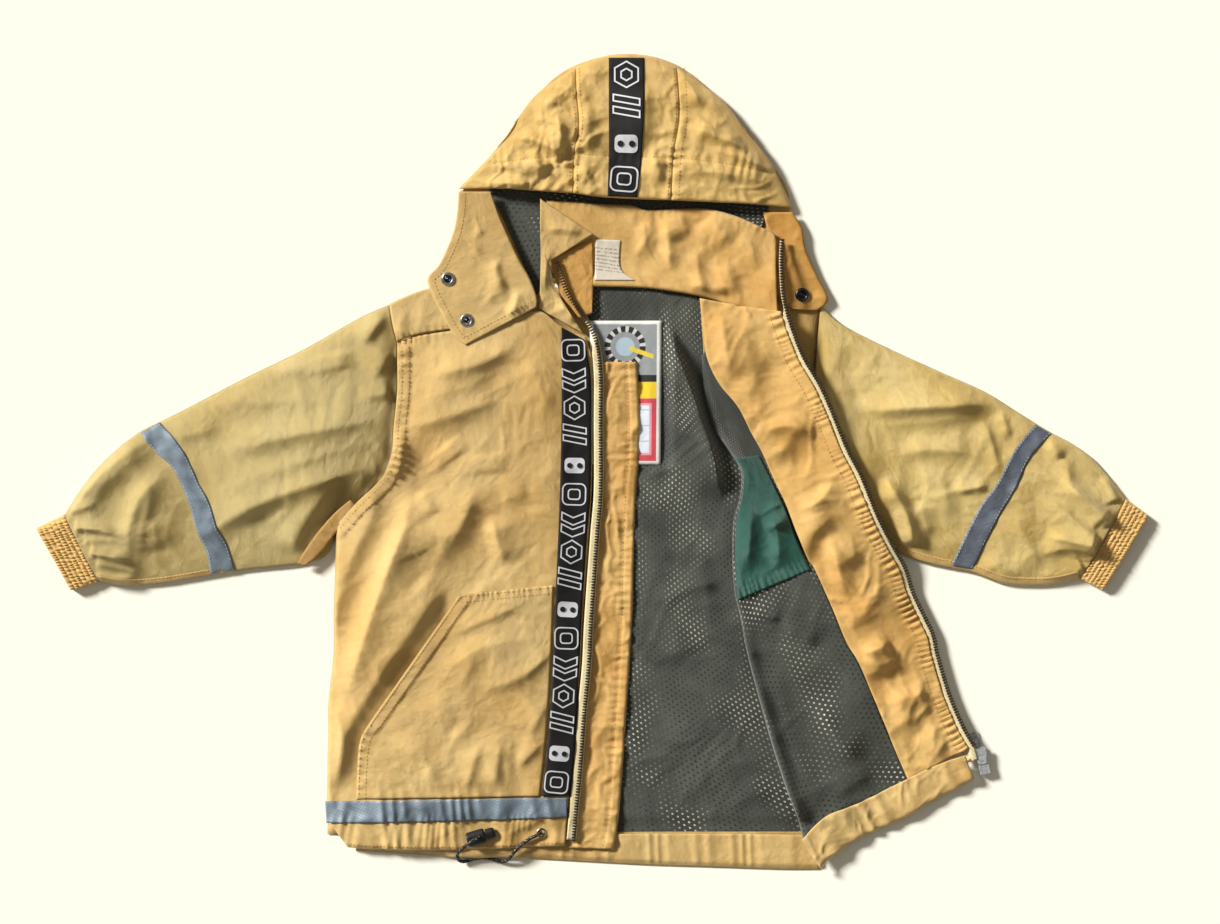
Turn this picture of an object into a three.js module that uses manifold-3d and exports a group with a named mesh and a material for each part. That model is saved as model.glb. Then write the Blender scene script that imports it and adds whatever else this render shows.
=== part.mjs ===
// A child's hooded rain jacket laid out flat on its back, its zip open.
// The wearer's right front lies closed; the wearer's left front is opened outwards, inside up.
// Millimetres, +Z up. +Y points from hem to hood, +X to the wearer's left.
// Every cloth piece is a thin wall: a plan outline, a height field for its lower face, and a wall.
import * as THREE from 'three';
import Module from 'manifold-3d';
import { mergeVertices } from 'three/addons/utils/BufferGeometryUtils.js';

const wasm = await Module();
wasm.setup();

// ---------------------------------------------------------------- driving dimensions
const SHELL = 1.5; // wall of the outer cloth
const LINING = 1.2; // wall of linings, facings and flaps
const TRIM = 1.0; // wall of tapes, labels and ribbons
const SEAM_GAP = 0.3; // between two pieces sewn edge to edge
const LAYER_GAP = 0.6; // between a piece and what lies on it
const FRAME_SHIFT = [7, 0.57]; // brings the plan's bounding box onto the origin

const BACK_LINING_Z = 2.1;
const SIZE_LABEL_Z = 3.9;
const PLACKET_Z = 5.4;
const ZIP_Z = 7.2;
const COLLAR_INSIDE_Z = 6.3;
const HOOD_LINING_Z = 2.2;
const LEFT_TAB_Z = 4.4;
const TEETH_WIDTH = 3;
const TEETH_HEIGHT = 2.2;
const TAPE_EDGE = 7; // from the teeth line to the folded cloth edge beside the tape

const SLEEVE_EDGE_Z = 3.6; // height of a flattened sleeve along its two folds
const SLEEVE_RISE = 3.2; // how much higher its middle stands
const CUFF_Z = 7;
const CUFF_WALL = 2.4;

const HOOD_CENTRE = [22, 215];
const HOOD_REACH = [150, 133];
const HOOD_RISE = 15;
const HOOD_EDGE_Z = 2.6;

const CORD_DIAMETER = 3;
const SNAP_RADIUS = 5.9;
const SLIDER_AT = [322.4, -250];
const SLIDER_HEADING = THREE.MathUtils.degToRad(-76);
const SLIDER_LIFT = 3; // the cloth stands this high beside the slider

// ---------------------------------------------------------------- materials
const cloth = (color, roughness = 0.7) =>
  new THREE.MeshStandardMaterial({ color, roughness, metalness: 0, side: THREE.DoubleSide });
const yellow = cloth(0xdeba6e, 0.55);
const orange = cloth(0xe1aa50, 0.6);
const mesh = cloth(0x555a52, 0.85);
const green = cloth(0x1e5548, 0.6);
const ribbonBlack = cloth(0x101013, 0.6);
const reflective = cloth(0x78879a, 0.45);
const cream = cloth(0xf0e1b4, 0.8);
const white = cloth(0xe6e3da, 0.75);
const darkPlastic = new THREE.MeshStandardMaterial({ color: 0x26241f, roughness: 0.45 });
const blackPlastic = new THREE.MeshStandardMaterial({ color: 0x0c0c0d, roughness: 0.5 });
const steel = new THREE.MeshStandardMaterial({ color: 0xa8adb3, roughness: 0.3, metalness: 1 });

// ---------------------------------------------------------------- plan curves
const smooth = (from, to, value) => THREE.MathUtils.smoothstep(value, Math.min(from, to), Math.max(from, to));
const rising = (from, to, value) => (from < to ? smooth(from, to, value) : 1 - smooth(from, to, value));
const points = (list) => list.map(([x, y]) => new THREE.Vector2(x, y));

// count + 1 points, evenly spaced on a smooth curve through the listed ones.
function along(list, count) {
  const curve = new THREE.SplineCurve(points(list));
  return Array.from({ length: count + 1 }, (_, i) => curve.getPointAt(i / count));
}

// Two sampled curves end to end.
const joined = (first, second) => [...first, ...second.slice(1)];

// A sampled curve moved sideways by a distance, to the right of its own direction when positive.
function beside(curve, distance) {
  return curve.map((point, i) => {
    const ahead = curve[Math.min(i + 1, curve.length - 1)];
    const behind = curve[Math.max(i - 1, 0)];
    const heading = ahead.clone().sub(behind).normalize();
    return new THREE.Vector2(point.x + heading.y * distance, point.y - heading.x * distance);
  });
}

const straight = (start, end, count) =>
  Array.from({ length: count + 1 }, (_, i) => start.clone().lerp(end, i / count));

// ---------------------------------------------------------------- cloth builders
// The plan points of a four-sided piece: rows run from top to bottom, columns from left to right.
function coons({ left, right, top, bottom }) {
  const rows = left.length - 1;
  const columns = top.length - 1;
  const grid = [];
  for (let i = 0; i <= rows; i++) {
    const v = i / rows;
    const row = [];
    for (let j = 0; j <= columns; j++) {
      const u = j / columns;
      const sides = left[i].clone().lerp(right[i], u);
      const ends = top[j].clone().lerp(bottom[j], v);
      const corners = top[0].clone().lerp(top[columns], u);
      corners.lerp(bottom[0].clone().lerp(bottom[columns], u), v);
      row.push(sides.add(ends).sub(corners));
    }
    grid.push(row);
  }
  return grid;
}

// Pulls the border of a plan grid inwards by half a seam gap.
function inset(grid, gap) {
  const rows = grid.length - 1;
  const columns = grid[0].length - 1;
  const pull = (point, inner) => {
    const step = inner.clone().sub(point);
    return point.clone().add(step.setLength(Math.min(gap, step.length() / 3)));
  };
  const narrowed = grid.map((row) =>
    row.map((point, j) => {
      if (j === 0) return pull(point, row[1]);
      return j === columns ? pull(point, row[columns - 1]) : point;
    }),
  );
  return narrowed.map((row, i) =>
    row.map((point, j) => {
      if (i === 0) return pull(point, narrowed[1][j]);
      return i === rows ? pull(point, narrowed[rows - 1][j]) : point;
    }),
  );
}

// A closed solid from quads over a vertex list.
function closedBody(vertices, quads) {
  const geometry = new THREE.BufferGeometry();
  geometry.setAttribute('position', new THREE.Float32BufferAttribute(vertices.flat(), 3));
  geometry.setIndex(quads.flatMap(([a, b, c, d]) => [a, b, c, a, c, d]));
  return geometry.toNonIndexed();
}

// A cloth wall over a plan grid. lift gives the height of the lower face at a plan point.
function wallOver(grid, lift, wall) {
  const rows = grid.length - 1;
  const columns = grid[0].length - 1;
  const flat = grid.flat();
  const lower = flat.map(({ x, y }) => [x, y, lift(x, y)]);
  const upper = lower.map(([x, y, z]) => [x, y, z + wall]);
  const at = (i, j) => i * (columns + 1) + j;
  const over = flat.length;
  const quads = [];
  for (let i = 0; i < rows; i++) {
    for (let j = 0; j < columns; j++) {
      const [a, b, c, d] = [at(i, j), at(i + 1, j), at(i + 1, j + 1), at(i, j + 1)];
      quads.push([a + over, b + over, c + over, d + over]);
      quads.push([c, b, a, d]); // the same diagonal as above, so layers of one grid stay parallel
    }
  }
  const border = [];
  for (let j = 0; j < columns; j++) border.push(at(0, j));
  for (let i = 0; i < rows; i++) border.push(at(i, columns));
  for (let j = columns; j > 0; j--) border.push(at(rows, j));
  for (let i = rows; i > 0; i--) border.push(at(i, 0));
  border.forEach((index, k) => {
    const next = border[(k + 1) % border.length];
    quads.push([index, index + over, next + over, next]);
  });
  return closedBody([...lower, ...upper], quads);
}

function panel(name, material, edges, lift, wall, columns = 1) {
  const { left, right } = edges;
  const top = edges.top ?? straight(left[0], right[0], columns);
  const bottom = edges.bottom ?? straight(left.at(-1), right.at(-1), columns);
  const grid = inset(coons({ left, right, top, bottom }), SEAM_GAP / 2);
  return named(name, wallOver(grid, lift, wall), material);
}

function named(name, geometry, material) {
  const piece = new THREE.Mesh(geometry, material);
  piece.name = name;
  return piece;
}

// A flattened tube of cloth, open at both ends. Rows of the grid are its cross-sections.
function flatTube(name, material, grid, topHeight, wall) {
  const stations = inset(grid, SEAM_GAP / 2);
  const columns = stations[0].length - 1;
  const ring = [];
  for (let j = 0; j <= columns; j++) ring.push([j, false]);
  for (let j = columns; j >= 0; j--) ring.push([j, true]);
  const loop = (row, inner) =>
    ring.map(([j, isTop]) => {
      const point = row[j].clone();
      const step = row[Math.min(Math.max(j, 1), columns - 1)].clone().sub(point);
      if (inner && step.length() > 0) point.add(step.setLength(wall));
      const height = isTop ? topHeight(j / columns) : 0;
      const inwards = isTop ? -wall : wall;
      return [point.x, point.y, height + (inner ? inwards : 0)];
    });
  const outer = stations.flatMap((row) => loop(row, false));
  const inner = stations.flatMap((row) => loop(row, true));
  const size = ring.length;
  const hollow = outer.length;
  const quads = [];
  for (let s = 0; s < stations.length - 1; s++) {
    for (let k = 0; k < size; k++) {
      const next = (k + 1) % size;
      const face = [s * size + k, (s + 1) * size + k, (s + 1) * size + next, s * size + next];
      quads.push(face);
      quads.push(face.map((index) => index + hollow).reverse());
    }
  }
  for (let k = 0; k < size; k++) {
    const next = (k + 1) % size;
    quads.push([k, next, next + hollow, k + hollow]);
    const end = (stations.length - 1) * size;
    quads.push([end + next, end + k, end + k + hollow, end + next + hollow]);
  }
  return named(name, outwards(closedBody([...outer, ...inner], quads)), material);
}

// Turns a closed geometry right side out.
function outwards(geometry) {
  if (solidOf(geometry).volume() > 0) return geometry;
  const position = geometry.attributes.position;
  const turned = [];
  for (let i = 0; i < position.count; i += 3) {
    [i, i + 2, i + 1].forEach((k) => turned.push(position.getX(k), position.getY(k), position.getZ(k)));
  }
  return new THREE.BufferGeometry().setAttribute('position', new THREE.Float32BufferAttribute(turned, 3));
}

// ---------------------------------------------------------------- solids that are cut or joined
function solidOf(geometry) {
  const bare = geometry.clone();
  bare.deleteAttribute('normal');
  bare.deleteAttribute('uv');
  const merged = mergeVertices(bare, 1e-4);
  return new wasm.Manifold(
    new wasm.Mesh({
      numProp: 3,
      vertProperties: merged.attributes.position.array,
      triVerts: new Uint32Array(merged.index.array),
    }),
  );
}

function geometryOf(solid) {
  const { vertProperties, triVerts } = solid.getMesh();
  const geometry = new THREE.BufferGeometry();
  geometry.setAttribute('position', new THREE.BufferAttribute(vertProperties, 3));
  geometry.setIndex(new THREE.BufferAttribute(triVerts, 1));
  return geometry.toNonIndexed();
}

const union = (...geometries) => geometryOf(geometries.map(solidOf).reduce((all, one) => all.add(one)));
const cut = (geometry, tool) => geometryOf(solidOf(geometry).subtract(solidOf(tool)));
const block = (size, centre) => new THREE.BoxGeometry(...size).translate(...centre);
const plate = (outline, low, high) =>
  new THREE.ExtrudeGeometry(new THREE.Shape(points(outline)), { depth: high - low, bevelEnabled: false }).translate(
    0,
    0,
    low,
  );

// ---------------------------------------------------------------- outlines that several pieces share
const yokeArmhole = along([[-179, 133], [-176, 115], [-172, 101]], 1);
const frontArmhole = along(
  [
    [-172, 101], [-172, 86], [-172, 60], [-175, 29], [-176, 9], [-182, -10], [-192, -22], [-207, -36],
    [-224, -55],
  ],
  7,
);
const rightArmhole = joined(yokeArmhole, frontArmhole);
const leftArmhole = along(
  [[187, 132], [184, 100], [182, 60], [186, 20], [194, -10], [210, -38], [232, -62]],
  8,
);
const rightTeeth = [
  [-37, 168], [-28, 142], [-11, 117], [-3, 99], [0, 73], [0, 34], [0, -25], [-3, -63], [-8, -133],
  [-10, -173],
  [-14, -215], [-17, -256], [-21, -298], [-23, -321],
];
const leftZip = [
  [155, 187], [154, 167], [155, 144], [158, 128], [163, 112], [172, 89], [186, 65], [196, 43], [204, 23],
  [211, 7],
  [221, -12], [235, -46], [248, -71], [259, -90], [266, -111], [275, -130], [283, -147], [287, -165],
  [297, -198],
  [308, -224], [317, -240], [321, -253], [324, -266],
];
const doorFold = [
  [83, 136], [85, 105], [86, 85], [89, 50], [97, 26], [110, 7], [119, -9], [118, -31], [113, -51], [112, -84],
  [114, -112], [119, -133], [123, -157], [130, -186], [138, -215], [147, -246], [157, -277], [167, -303],
  [172, -321],
];
const facingEdge = [
  [90, 137], [92, 112], [93, 89], [102, 65], [116, 46], [128, 23], [137, 7], [147, -16], [157, -37],
  [166, -61],
  [176, -84], [181, -91], [196, -124], [208, -153], [220, -174], [240, -221], [249, -243], [261, -271],
];
const doorHem = [[173, -323], [192, -304], [223, -291.5], [261, -272.5], [289, -259.5], [310, -252]];
const hoodLeftSeam = [[-21, 334], [-20, 309], [-18, 284], [-22, 259], [-23, 226]];
const hoodRightSeam = [[65, 334], [67, 292], [62, 259], [60, 220]];

// ---------------------------------------------------------------- heights of the layers
const onFloor = () => 0;
const level = (height) => () => height;
const bump = (x, y, [cx, cy], [rx, ry]) => Math.exp(-(((x - cx) / rx) ** 2) - ((y - cy) / ry) ** 2);

// The back hem stands up where the drawcord passes under it.
const backHemLift = (x) => 3.5 * rising(-142, -124, x) * rising(-56, -72, x);

// The closed right front: down at the side seam, up on the flap and zip, swelling over the chest
// and the pocket, with two soft folds running from the underarm.
function frontLift(x, y) {
  const side = 2.1 + 3.7 * rising(-226, -170, x);
  const chest = 2.2 * bump(x, y, [-105, -10], [60, 90]);
  const pocket = 1.6 * bump(x, y, [-125, -200], [60, 60]);
  const fold = 1.6 * bump(x + y * 0.9, y, [-205, -20], [26, 70]);
  return side + chest + pocket + fold * rising(-226, -190, x);
}

// The opened left front: on the back lining at the fold, over the sleeve, then down on the floor.
function doorLift(x, y) {
  const overSleeve = 4.4 * rising(140, 182, x) * rising(-92, -48, y);
  const overShoulder = 3.2 * rising(100, 132, x) * rising(60, 100, y);
  const sideSeam = 232 - 0.17 * Math.max(0, -62 - y);
  const floor = rising(sideSeam + 3, sideSeam + 42, x) * rising(-72, -108, y);
  const slider = SLIDER_LIFT * bump(x, y, [316, -245], [30, 30]);
  const resting = 4.1 * (1 - floor);
  return Math.max(resting + Math.max(overSleeve, overShoulder), 0) + slider * floor;
}

// The hood's upper half: a low dome that stands open along the brim.
function hoodLift(x, y) {
  const across = (x - HOOD_CENTRE[0]) / HOOD_REACH[0];
  const up = (y - HOOD_CENTRE[1]) / HOOD_REACH[1];
  const reach = Math.min(Math.hypot(across, up), 1);
  return HOOD_EDGE_Z + HOOD_RISE * (1 - reach ** 3);
}

const collarLift = (x) => 4.1 + 3.6 * rising(70, 125, x);
const tabLift = (x, y) => 5 + 4.4 * rising(205, 150, y);
const above = (lift, wall) => (x, y) => lift(x, y) + wall + LAYER_GAP;

const jacket = new THREE.Group();
const add = (...pieces) => jacket.add(...pieces);

// ---------------------------------------------------------------- back: shell, hem casing, lining, labels
function backPieces() {
  const rightSide = along([[-224, -55], [-226, -126], [-227, -165], [-231, -233], [-232, -317]], 6);
  const leftSide = along([[232, -62], [229, -130], [216, -200], [201, -265], [188, -321]], 6);
  const left = joined(rightArmhole, rightSide);
  const right = joined(leftArmhole, leftSide);
  const neck = along(
    [[-179, 133], [-144, 146], [-100, 149], [-50, 148], [20, 146], [90, 146], [150, 143], [187, 132]],
    7,
  );
  const hem = along([[-232, -317], [-116, -320], [15, -320.5], [113, -321.5], [188, -321]], 7);
  const back = panel('back_panel', yellow, { left, right, top: neck, bottom: hem }, onFloor, SHELL);

  const casingTop = along([[-206, -318.8], [-116, -320.6], [15, -321.2], [113, -322.1], [188, -321.8]], 20);
  const casingFoot = along(
    [[-208, -331], [-116, -337], [-77, -337], [34, -343], [93, -345], [154, -347], [186, -347]],
    20,
  );
  const casing = panel(
    'back_hem_band',
    yellow,
    {
      left: straight(casingTop[0], casingFoot[0], 2),
      right: straight(casingTop.at(-1), casingFoot.at(-1), 2),
      top: casingTop,
      bottom: casingFoot,
    },
    backHemLift,
    SHELL,
  );

  const liningLeft = along(
    [[-14, 157], [-9, 110], [-7, 60], [-7, 0], [-11, -100], [-19, -215], [-24, -316]],
    8,
  );
  const liningRight = beside(along(doorFold, 8), -20);
  const lining = panel(
    'back_lining',
    mesh,
    { left: liningLeft, right: liningRight },
    level(BACK_LINING_Z),
    LINING,
    3,
  );

  const sizeLabel = panel(
    'size_label',
    white,
    { left: along([[-9, 119], [-9, -3]], 2), right: along([[52, 119], [51, -3]], 2) },
    level(SIZE_LABEL_Z),
    TRIM,
    2,
  );
  const careLabel = panel(
    'care_label',
    white,
    { left: along([[-4, 188], [-5, 153]], 2), right: along([[17, 187], [17, 164], [29, 153]], 2) },
    above(collarLift, SHELL),
    TRIM,
    2,
  );
  add(back, casing, lining, sizeLabel, careLabel);
}

// ---------------------------------------------------------------- sleeves, elastic cuffs and their bands
const sleeveHeight = (across) => SLEEVE_EDGE_Z + SLEEVE_RISE * (1 - (2 * across - 1) ** 2);
const cuffHeight = (across) => CUFF_Z - 1.2 * (2 * across - 1) ** 2;

// A reflective band across a sleeve's upper side, between two crossing lines.
function sleeveBand(name, upperLine, lowerLine) {
  const count = 6;
  const left = along(upperLine, count);
  const right = along(lowerLine, count);
  const grid = inset(
    coons({
      left,
      right,
      top: straight(left[0], right[0], 1),
      bottom: straight(left[count], right[count], 1),
    }),
    1.2,
  );
  const heights = new Map();
  grid.forEach(
    (row, i) => row.forEach(
      ({ x, y }) => heights.set(`${x},${y}`, sleeveHeight(i / count) + LAYER_GAP),
    ),
  );
  return named(name, wallOver(grid, (x, y) => heights.get(`${x},${y}`), TRIM), reflective);
}

function sleevePieces() {
  const stations = 9;
  const rightTop = [
    [-179, 133], [-204, 122], [-252, 95], [-305, 69], [-351, 45], [-373, 34], [-391, 25], [-412, 9],
    [-431, -10],
    [-443, -26], [-455, -45],
  ];
  const rightFoot = [
    [-224, -55], [-232, -80], [-255, -88], [-301, -93], [-334, -98], [-371, -104], [-402, -106],
    [-425, -103],
  ];
  const leftTop = [
    [187, 132], [207, 115], [244, 96], [288, 76], [326, 59], [352, 43], [368, 33], [383, 24], [400, 15],
    [418, 2],
    [433, -15], [446, -32],
  ];
  const leftFoot = [
    [232, -62], [257, -80], [277, -87], [296, -91], [316, -95], [341, -104], [363, -106], [385, -105],
    [407, -100],
  ];
  // Rows are stations from armhole to cuff, columns run from the shoulder fold to the underarm fold.
  // The foot of the right armhole lies along the underarm fold, so that no corner of the grid turns in.
  const columns = rightArmhole.length - 3;
  const rightWrist = along([[-455, -45], [-440, -74], [-425, -103]], columns);
  const leftWrist = along([[446, -32], [427, -66], [407, -100]], leftArmhole.length - 1);
  const rightGrid = coons({
    left: along(rightTop, stations),
    right: joined(rightArmhole.slice(columns), along(rightFoot, stations - 2)),
    top: rightArmhole.slice(0, columns + 1),
    bottom: rightWrist,
  });
  const leftGrid = coons({
    left: along(leftTop, stations),
    right: along(leftFoot, stations),
    top: leftArmhole,
    bottom: leftWrist,
  });
  add(flatTube('sleeve_right', yellow, rightGrid, sleeveHeight, SHELL));
  add(flatTube('sleeve_left', yellow, leftGrid, sleeveHeight, SHELL));

  const cuffGrid = (inner, outer) => [
    inner,
    inner.map((point, i) => point.clone().lerp(outer[i], 0.5)),
    outer,
  ];
  const rightCuffEnd = along([[-479, -57], [-464, -83], [-449, -110]], rightWrist.length - 1);
  const leftCuffEnd = along([[465, -46], [446, -78], [426, -110]], leftWrist.length - 1);
  add(flatTube('cuff_right', yellow, cuffGrid(rightWrist, rightCuffEnd), cuffHeight, CUFF_WALL));
  add(flatTube('cuff_left', yellow, cuffGrid(leftWrist, leftCuffEnd), cuffHeight, CUFF_WALL));

  add(
    sleeveBand(
      'sleeve_band_right',
      [[-390, 24], [-379, 9], [-365, -3], [-356, -18], [-348, -37], [-342, -59], [-334, -77], [-331, -96]],
      [[-374, 33], [-362, 20], [-350, 3], [-340, -18], [-330, -37], [-324, -57], [-316, -71], [-310, -93]],
    ),
    sleeveBand(
      'sleeve_band_left',
      [[369, 31], [352, 11], [335, -20], [320, -41], [297, -89]],
      [[383, 23], [365, 4], [350, -26], [337, -48], [316, -92]],
    ),
  );
}

// ---------------------------------------------------------------- right front, lying closed
function rightFrontPieces() {
  const side = along([[-224, -55], [-226, -126], [-227, -165], [-231, -204], [-231, -233], [-233, -297]], 6);
  const zipEdge = joined(
    along([[-12.5, 105], [-10, 97], [-7, 84], [-7, 34], [-7, -5]], 4),
    along(
      [
        [-7, -5], [-7.5, -25], [-10, -63], [-15, -133], [-17, -173], [-21, -215], [-24, -256],
        [-27.5, -294],
      ],
      9,
    ),
  );
  const neckline = [
    [-172, 101], [-154, 106], [-129, 110], [-100, 114], [-75, 121], [-52, 127], [-34, 115], [-12.5, 105],
  ];
  const front = panel(
    'front_right',
    yellow,
    {
      left: joined(frontArmhole, side),
      right: zipEdge,
      top: along(neckline, 9),
      bottom: along([[-233, -297], [-116, -296], [-27.5, -294]], 9),
    },
    frontLift,
    SHELL,
  );
  const yoke = panel(
    'yoke_right',
    yellow,
    {
      left: yokeArmhole,
      right: points([[-98, 151], [-99, 115.5]]),
      top: along([[-179, 133], [-146, 146], [-98, 151]], 4),
      bottom: along([[-172, 101], [-154, 107.2], [-129, 111.2], [-99, 115.5]], 4),
    },
    frontLift,
    SHELL,
  );
  const casing = panel(
    'front_hem_band',
    yellow,
    {
      left: points([[-233, -298], [-227, -310], [-214, -328]]),
      right: points([[-28, -295], [-29, -310], [-30, -326]]),
      top: along([[-233, -298], [-116, -297], [-28, -295]], 14),
      bottom: along([[-214, -328], [-180, -329.5], [-116, -330], [-77, -328.5], [-30, -326]], 14),
    },
    frontLift,
    SHELL,
  );
  const hemTape = panel(
    'hem_reflective',
    reflective,
    {
      left: points([[-233.5, -288.5], [-232.5, -307]]),
      right: points([[-28, -285], [-28, -301.5]]),
      top: along([[-233.5, -288.5], [-155, -287], [-77, -285.4], [-28, -285]], 14),
      bottom: along([[-232.5, -307], [-116, -304.5], [-28, -301.5]], 14),
    },
    above(frontLift, SHELL),
    TRIM,
  );
  const pocket = panel(
    'pocket',
    yellow,
    {
      left: joined(
        along([[-119, -113], [-157, -167], [-195, -221]], 4),
        along([[-195, -221], [-204, -240], [-207, -286.5]], 3),
      ),
      right: along([[-40, -105], [-42, -165], [-46, -233], [-51.5, -284]], 7),
    },
    above(frontLift, SHELL),
    LINING,
    6,
  );
  const ribbon = panel(
    'front_ribbon',
    ribbonBlack,
    {
      left: along(
        [[-33, 113.5], [-33, 34], [-35, -44], [-39, -135], [-40, -165], [-44, -233], [-50, -283.6]],
        13,
      ),
      right: along(
        [
          [-16, 104], [-10.5, 73], [-10, 34], [-10.5, -25], [-13.5, -63], [-18, -135], [-23, -243],
          [-27, -283.6],
        ],
        13,
      ),
    },
    above(frontLift, SHELL),
    TRIM,
  );
  const flapLeft = beside(along(rightTeeth.slice(4), 10), 4);
  const placket = panel(
    'placket',
    orange,
    {
      left: [new THREE.Vector2(-4, 84), ...flapLeft.slice(1, -1), new THREE.Vector2(-27, -328)],
      right: along(
        [
          [31, 84], [33, 46], [33, 7], [30, -31], [28, -91], [27, -133], [22, -215], [16, -298],
          [11, -329],
        ],
        10,
      ),
    },
    level(PLACKET_Z),
    LINING,
    2,
  );
  add(front, yoke, casing, hemTape, pocket, ribbon, placket);
}

// ---------------------------------------------------------------- collar
function collarPieces() {
  const collar = panel(
    'collar_back',
    orange,
    {
      left: along([[-46, 221], [-33, 185], [-20, 152.5]], 4),
      right: along([[147, 193], [144.5, 185], [144, 167], [145, 144], [147.5, 129]], 4),
      top: along(
        [
          [-46, 221], [-21, 220], [4, 218], [27, 217], [39, 213], [64, 214], [89, 214], [116, 207],
          [147, 193],
        ],
        9,
      ),
      bottom: along([[-20, 152.5], [29, 152], [51, 150], [89, 145], [119, 134], [147.5, 129]], 9),
    },
    collarLift,
    SHELL,
  );
  const endOuter = panel(
    'collar_right_end',
    yellow,
    {
      left: points([[-51, 222], [-51, 198], [-50.5, 175], [-51, 150], [-52, 129]]),
      right: points([[-6, 192], [-44, 168], [-37, 143], [-21, 118], [-14.5, 108]]),
    },
    (x, y) => 7 + 1.6 * rising(130, 180, y),
    SHELL,
    3,
  );
  const endInside = panel(
    'collar_right_inside',
    orange,
    {
      left: points([[-31, 169], [-26, 155], [-20, 141], [-9, 124]]),
      right: points([[-6.5, 189], [-6, 170], [-6, 150], [-7, 125]]),
    },
    level(COLLAR_INSIDE_Z),
    LINING,
    2,
  );
  add(collar, endOuter, endInside);
}

// ---------------------------------------------------------------- left front, opened outwards, inside up
// The opened front's plan grid: its lining's columns, then its facing's columns.
// The shell takes them all, and the lining and the facing are made from its points, moved out.
function doorGrid(rows, liningColumns, facingColumns) {
  const fold = along(doorFold, rows);
  const seam = along(facingEdge, rows);
  const zipSide = beside(along(leftZip.slice(3, -2), rows), 8.5);
  const liningHem = along([...doorHem.slice(0, 3), [261, -272]], liningColumns);
  const sides = [
    { left: fold, right: seam, top: straight(fold[0], seam[0], liningColumns), bottom: liningHem },
    {
      left: seam,
      right: zipSide,
      top: along([[90, 137], [119, 131.5], [149, 126.5]], facingColumns),
      bottom: straight(seam[rows], zipSide[rows], facingColumns),
    },
  ];
  const [lining, facing] = sides.map(coons);
  return { lining, facing, shell: lining.map((row, i) => [...row, ...facing[i].slice(1)]) };
}

function leftFrontPieces() {
  const grid = doorGrid(14, 4, 3);
  const topLayer = above(doorLift, SHELL);
  const liningStart = 3; // above this row the facing covers the whole width
  const wallOf = (name, material, plan, lift, wall) =>
    named(name, wallOver(inset(plan, SEAM_GAP / 2), lift, wall), material);
  const shell = wallOf('front_left', yellow, grid.shell, doorLift, SHELL);
  const facing = wallOf('facing_left', orange, grid.facing, topLayer, LINING);
  const lining = wallOf('lining_left', mesh, grid.lining.slice(liningStart), topLayer, LINING);
  const bag = panel(
    'pocket_bag_left',
    green,
    {
      left: along([[114, 2], [121, -10], [120, -31], [115, -51], [114, -84], [116, -118]], 5),
      right: along([[134, 5], [145, -17], [155, -38], [164, -62], [178, -92]], 5),
    },
    above(topLayer, LINING),
    TRIM,
    3,
  );
  const casing = panel(
    'hem_band_left',
    yellow,
    {
      left: points([[173, -324.2], [179, -335], [187, -346]]),
      right: points([[310, -253.2], [313, -261], [317, -270]]),
      top: beside(along(doorHem, 10), 0.9),
      bottom: along(
        [[187, -346], [195, -337], [221, -320], [259, -303], [273, -294], [300, -280], [317, -270]],
        10,
      ),
    },
    doorLift,
    2 * SHELL,
  );
  add(shell, facing, lining, bag, casing);
}

// ---------------------------------------------------------------- zip
// A strip that follows a zip edge, between two distances beside it.
function zipStrip(name, material, line, near, far, lift, height) {
  return panel(name, material, { left: beside(line, near), right: beside(line, far) }, lift, height);
}

function zipPieces() {
  const rightLine = along(rightTeeth, 20);
  const rightLift = level(ZIP_Z);
  add(
    zipStrip('zip_tape_right', cream, rightLine, TAPE_EDGE - 0.6, 1, rightLift, TRIM),
    zipStrip('zip_teeth_right', darkPlastic, rightLine, 0.7, 0.7 - TEETH_WIDTH, rightLift, TEETH_HEIGHT),
  );
  const leftLine = along(leftZip, 26);
  const raised = (height) => (x, y) => doorLift(x, y) + height;
  add(
    zipStrip('zip_tape_left', cream, leftLine.slice(0, -1), 7.6, 3.9, raised(1.2), TRIM),
    zipStrip(
      'zip_teeth_left',
      darkPlastic,
      leftLine.slice(0, -2),
      TEETH_WIDTH + 0.6,
      0.4,
      raised(0.6),
      TEETH_HEIGHT,
    ),
  );
}

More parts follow.
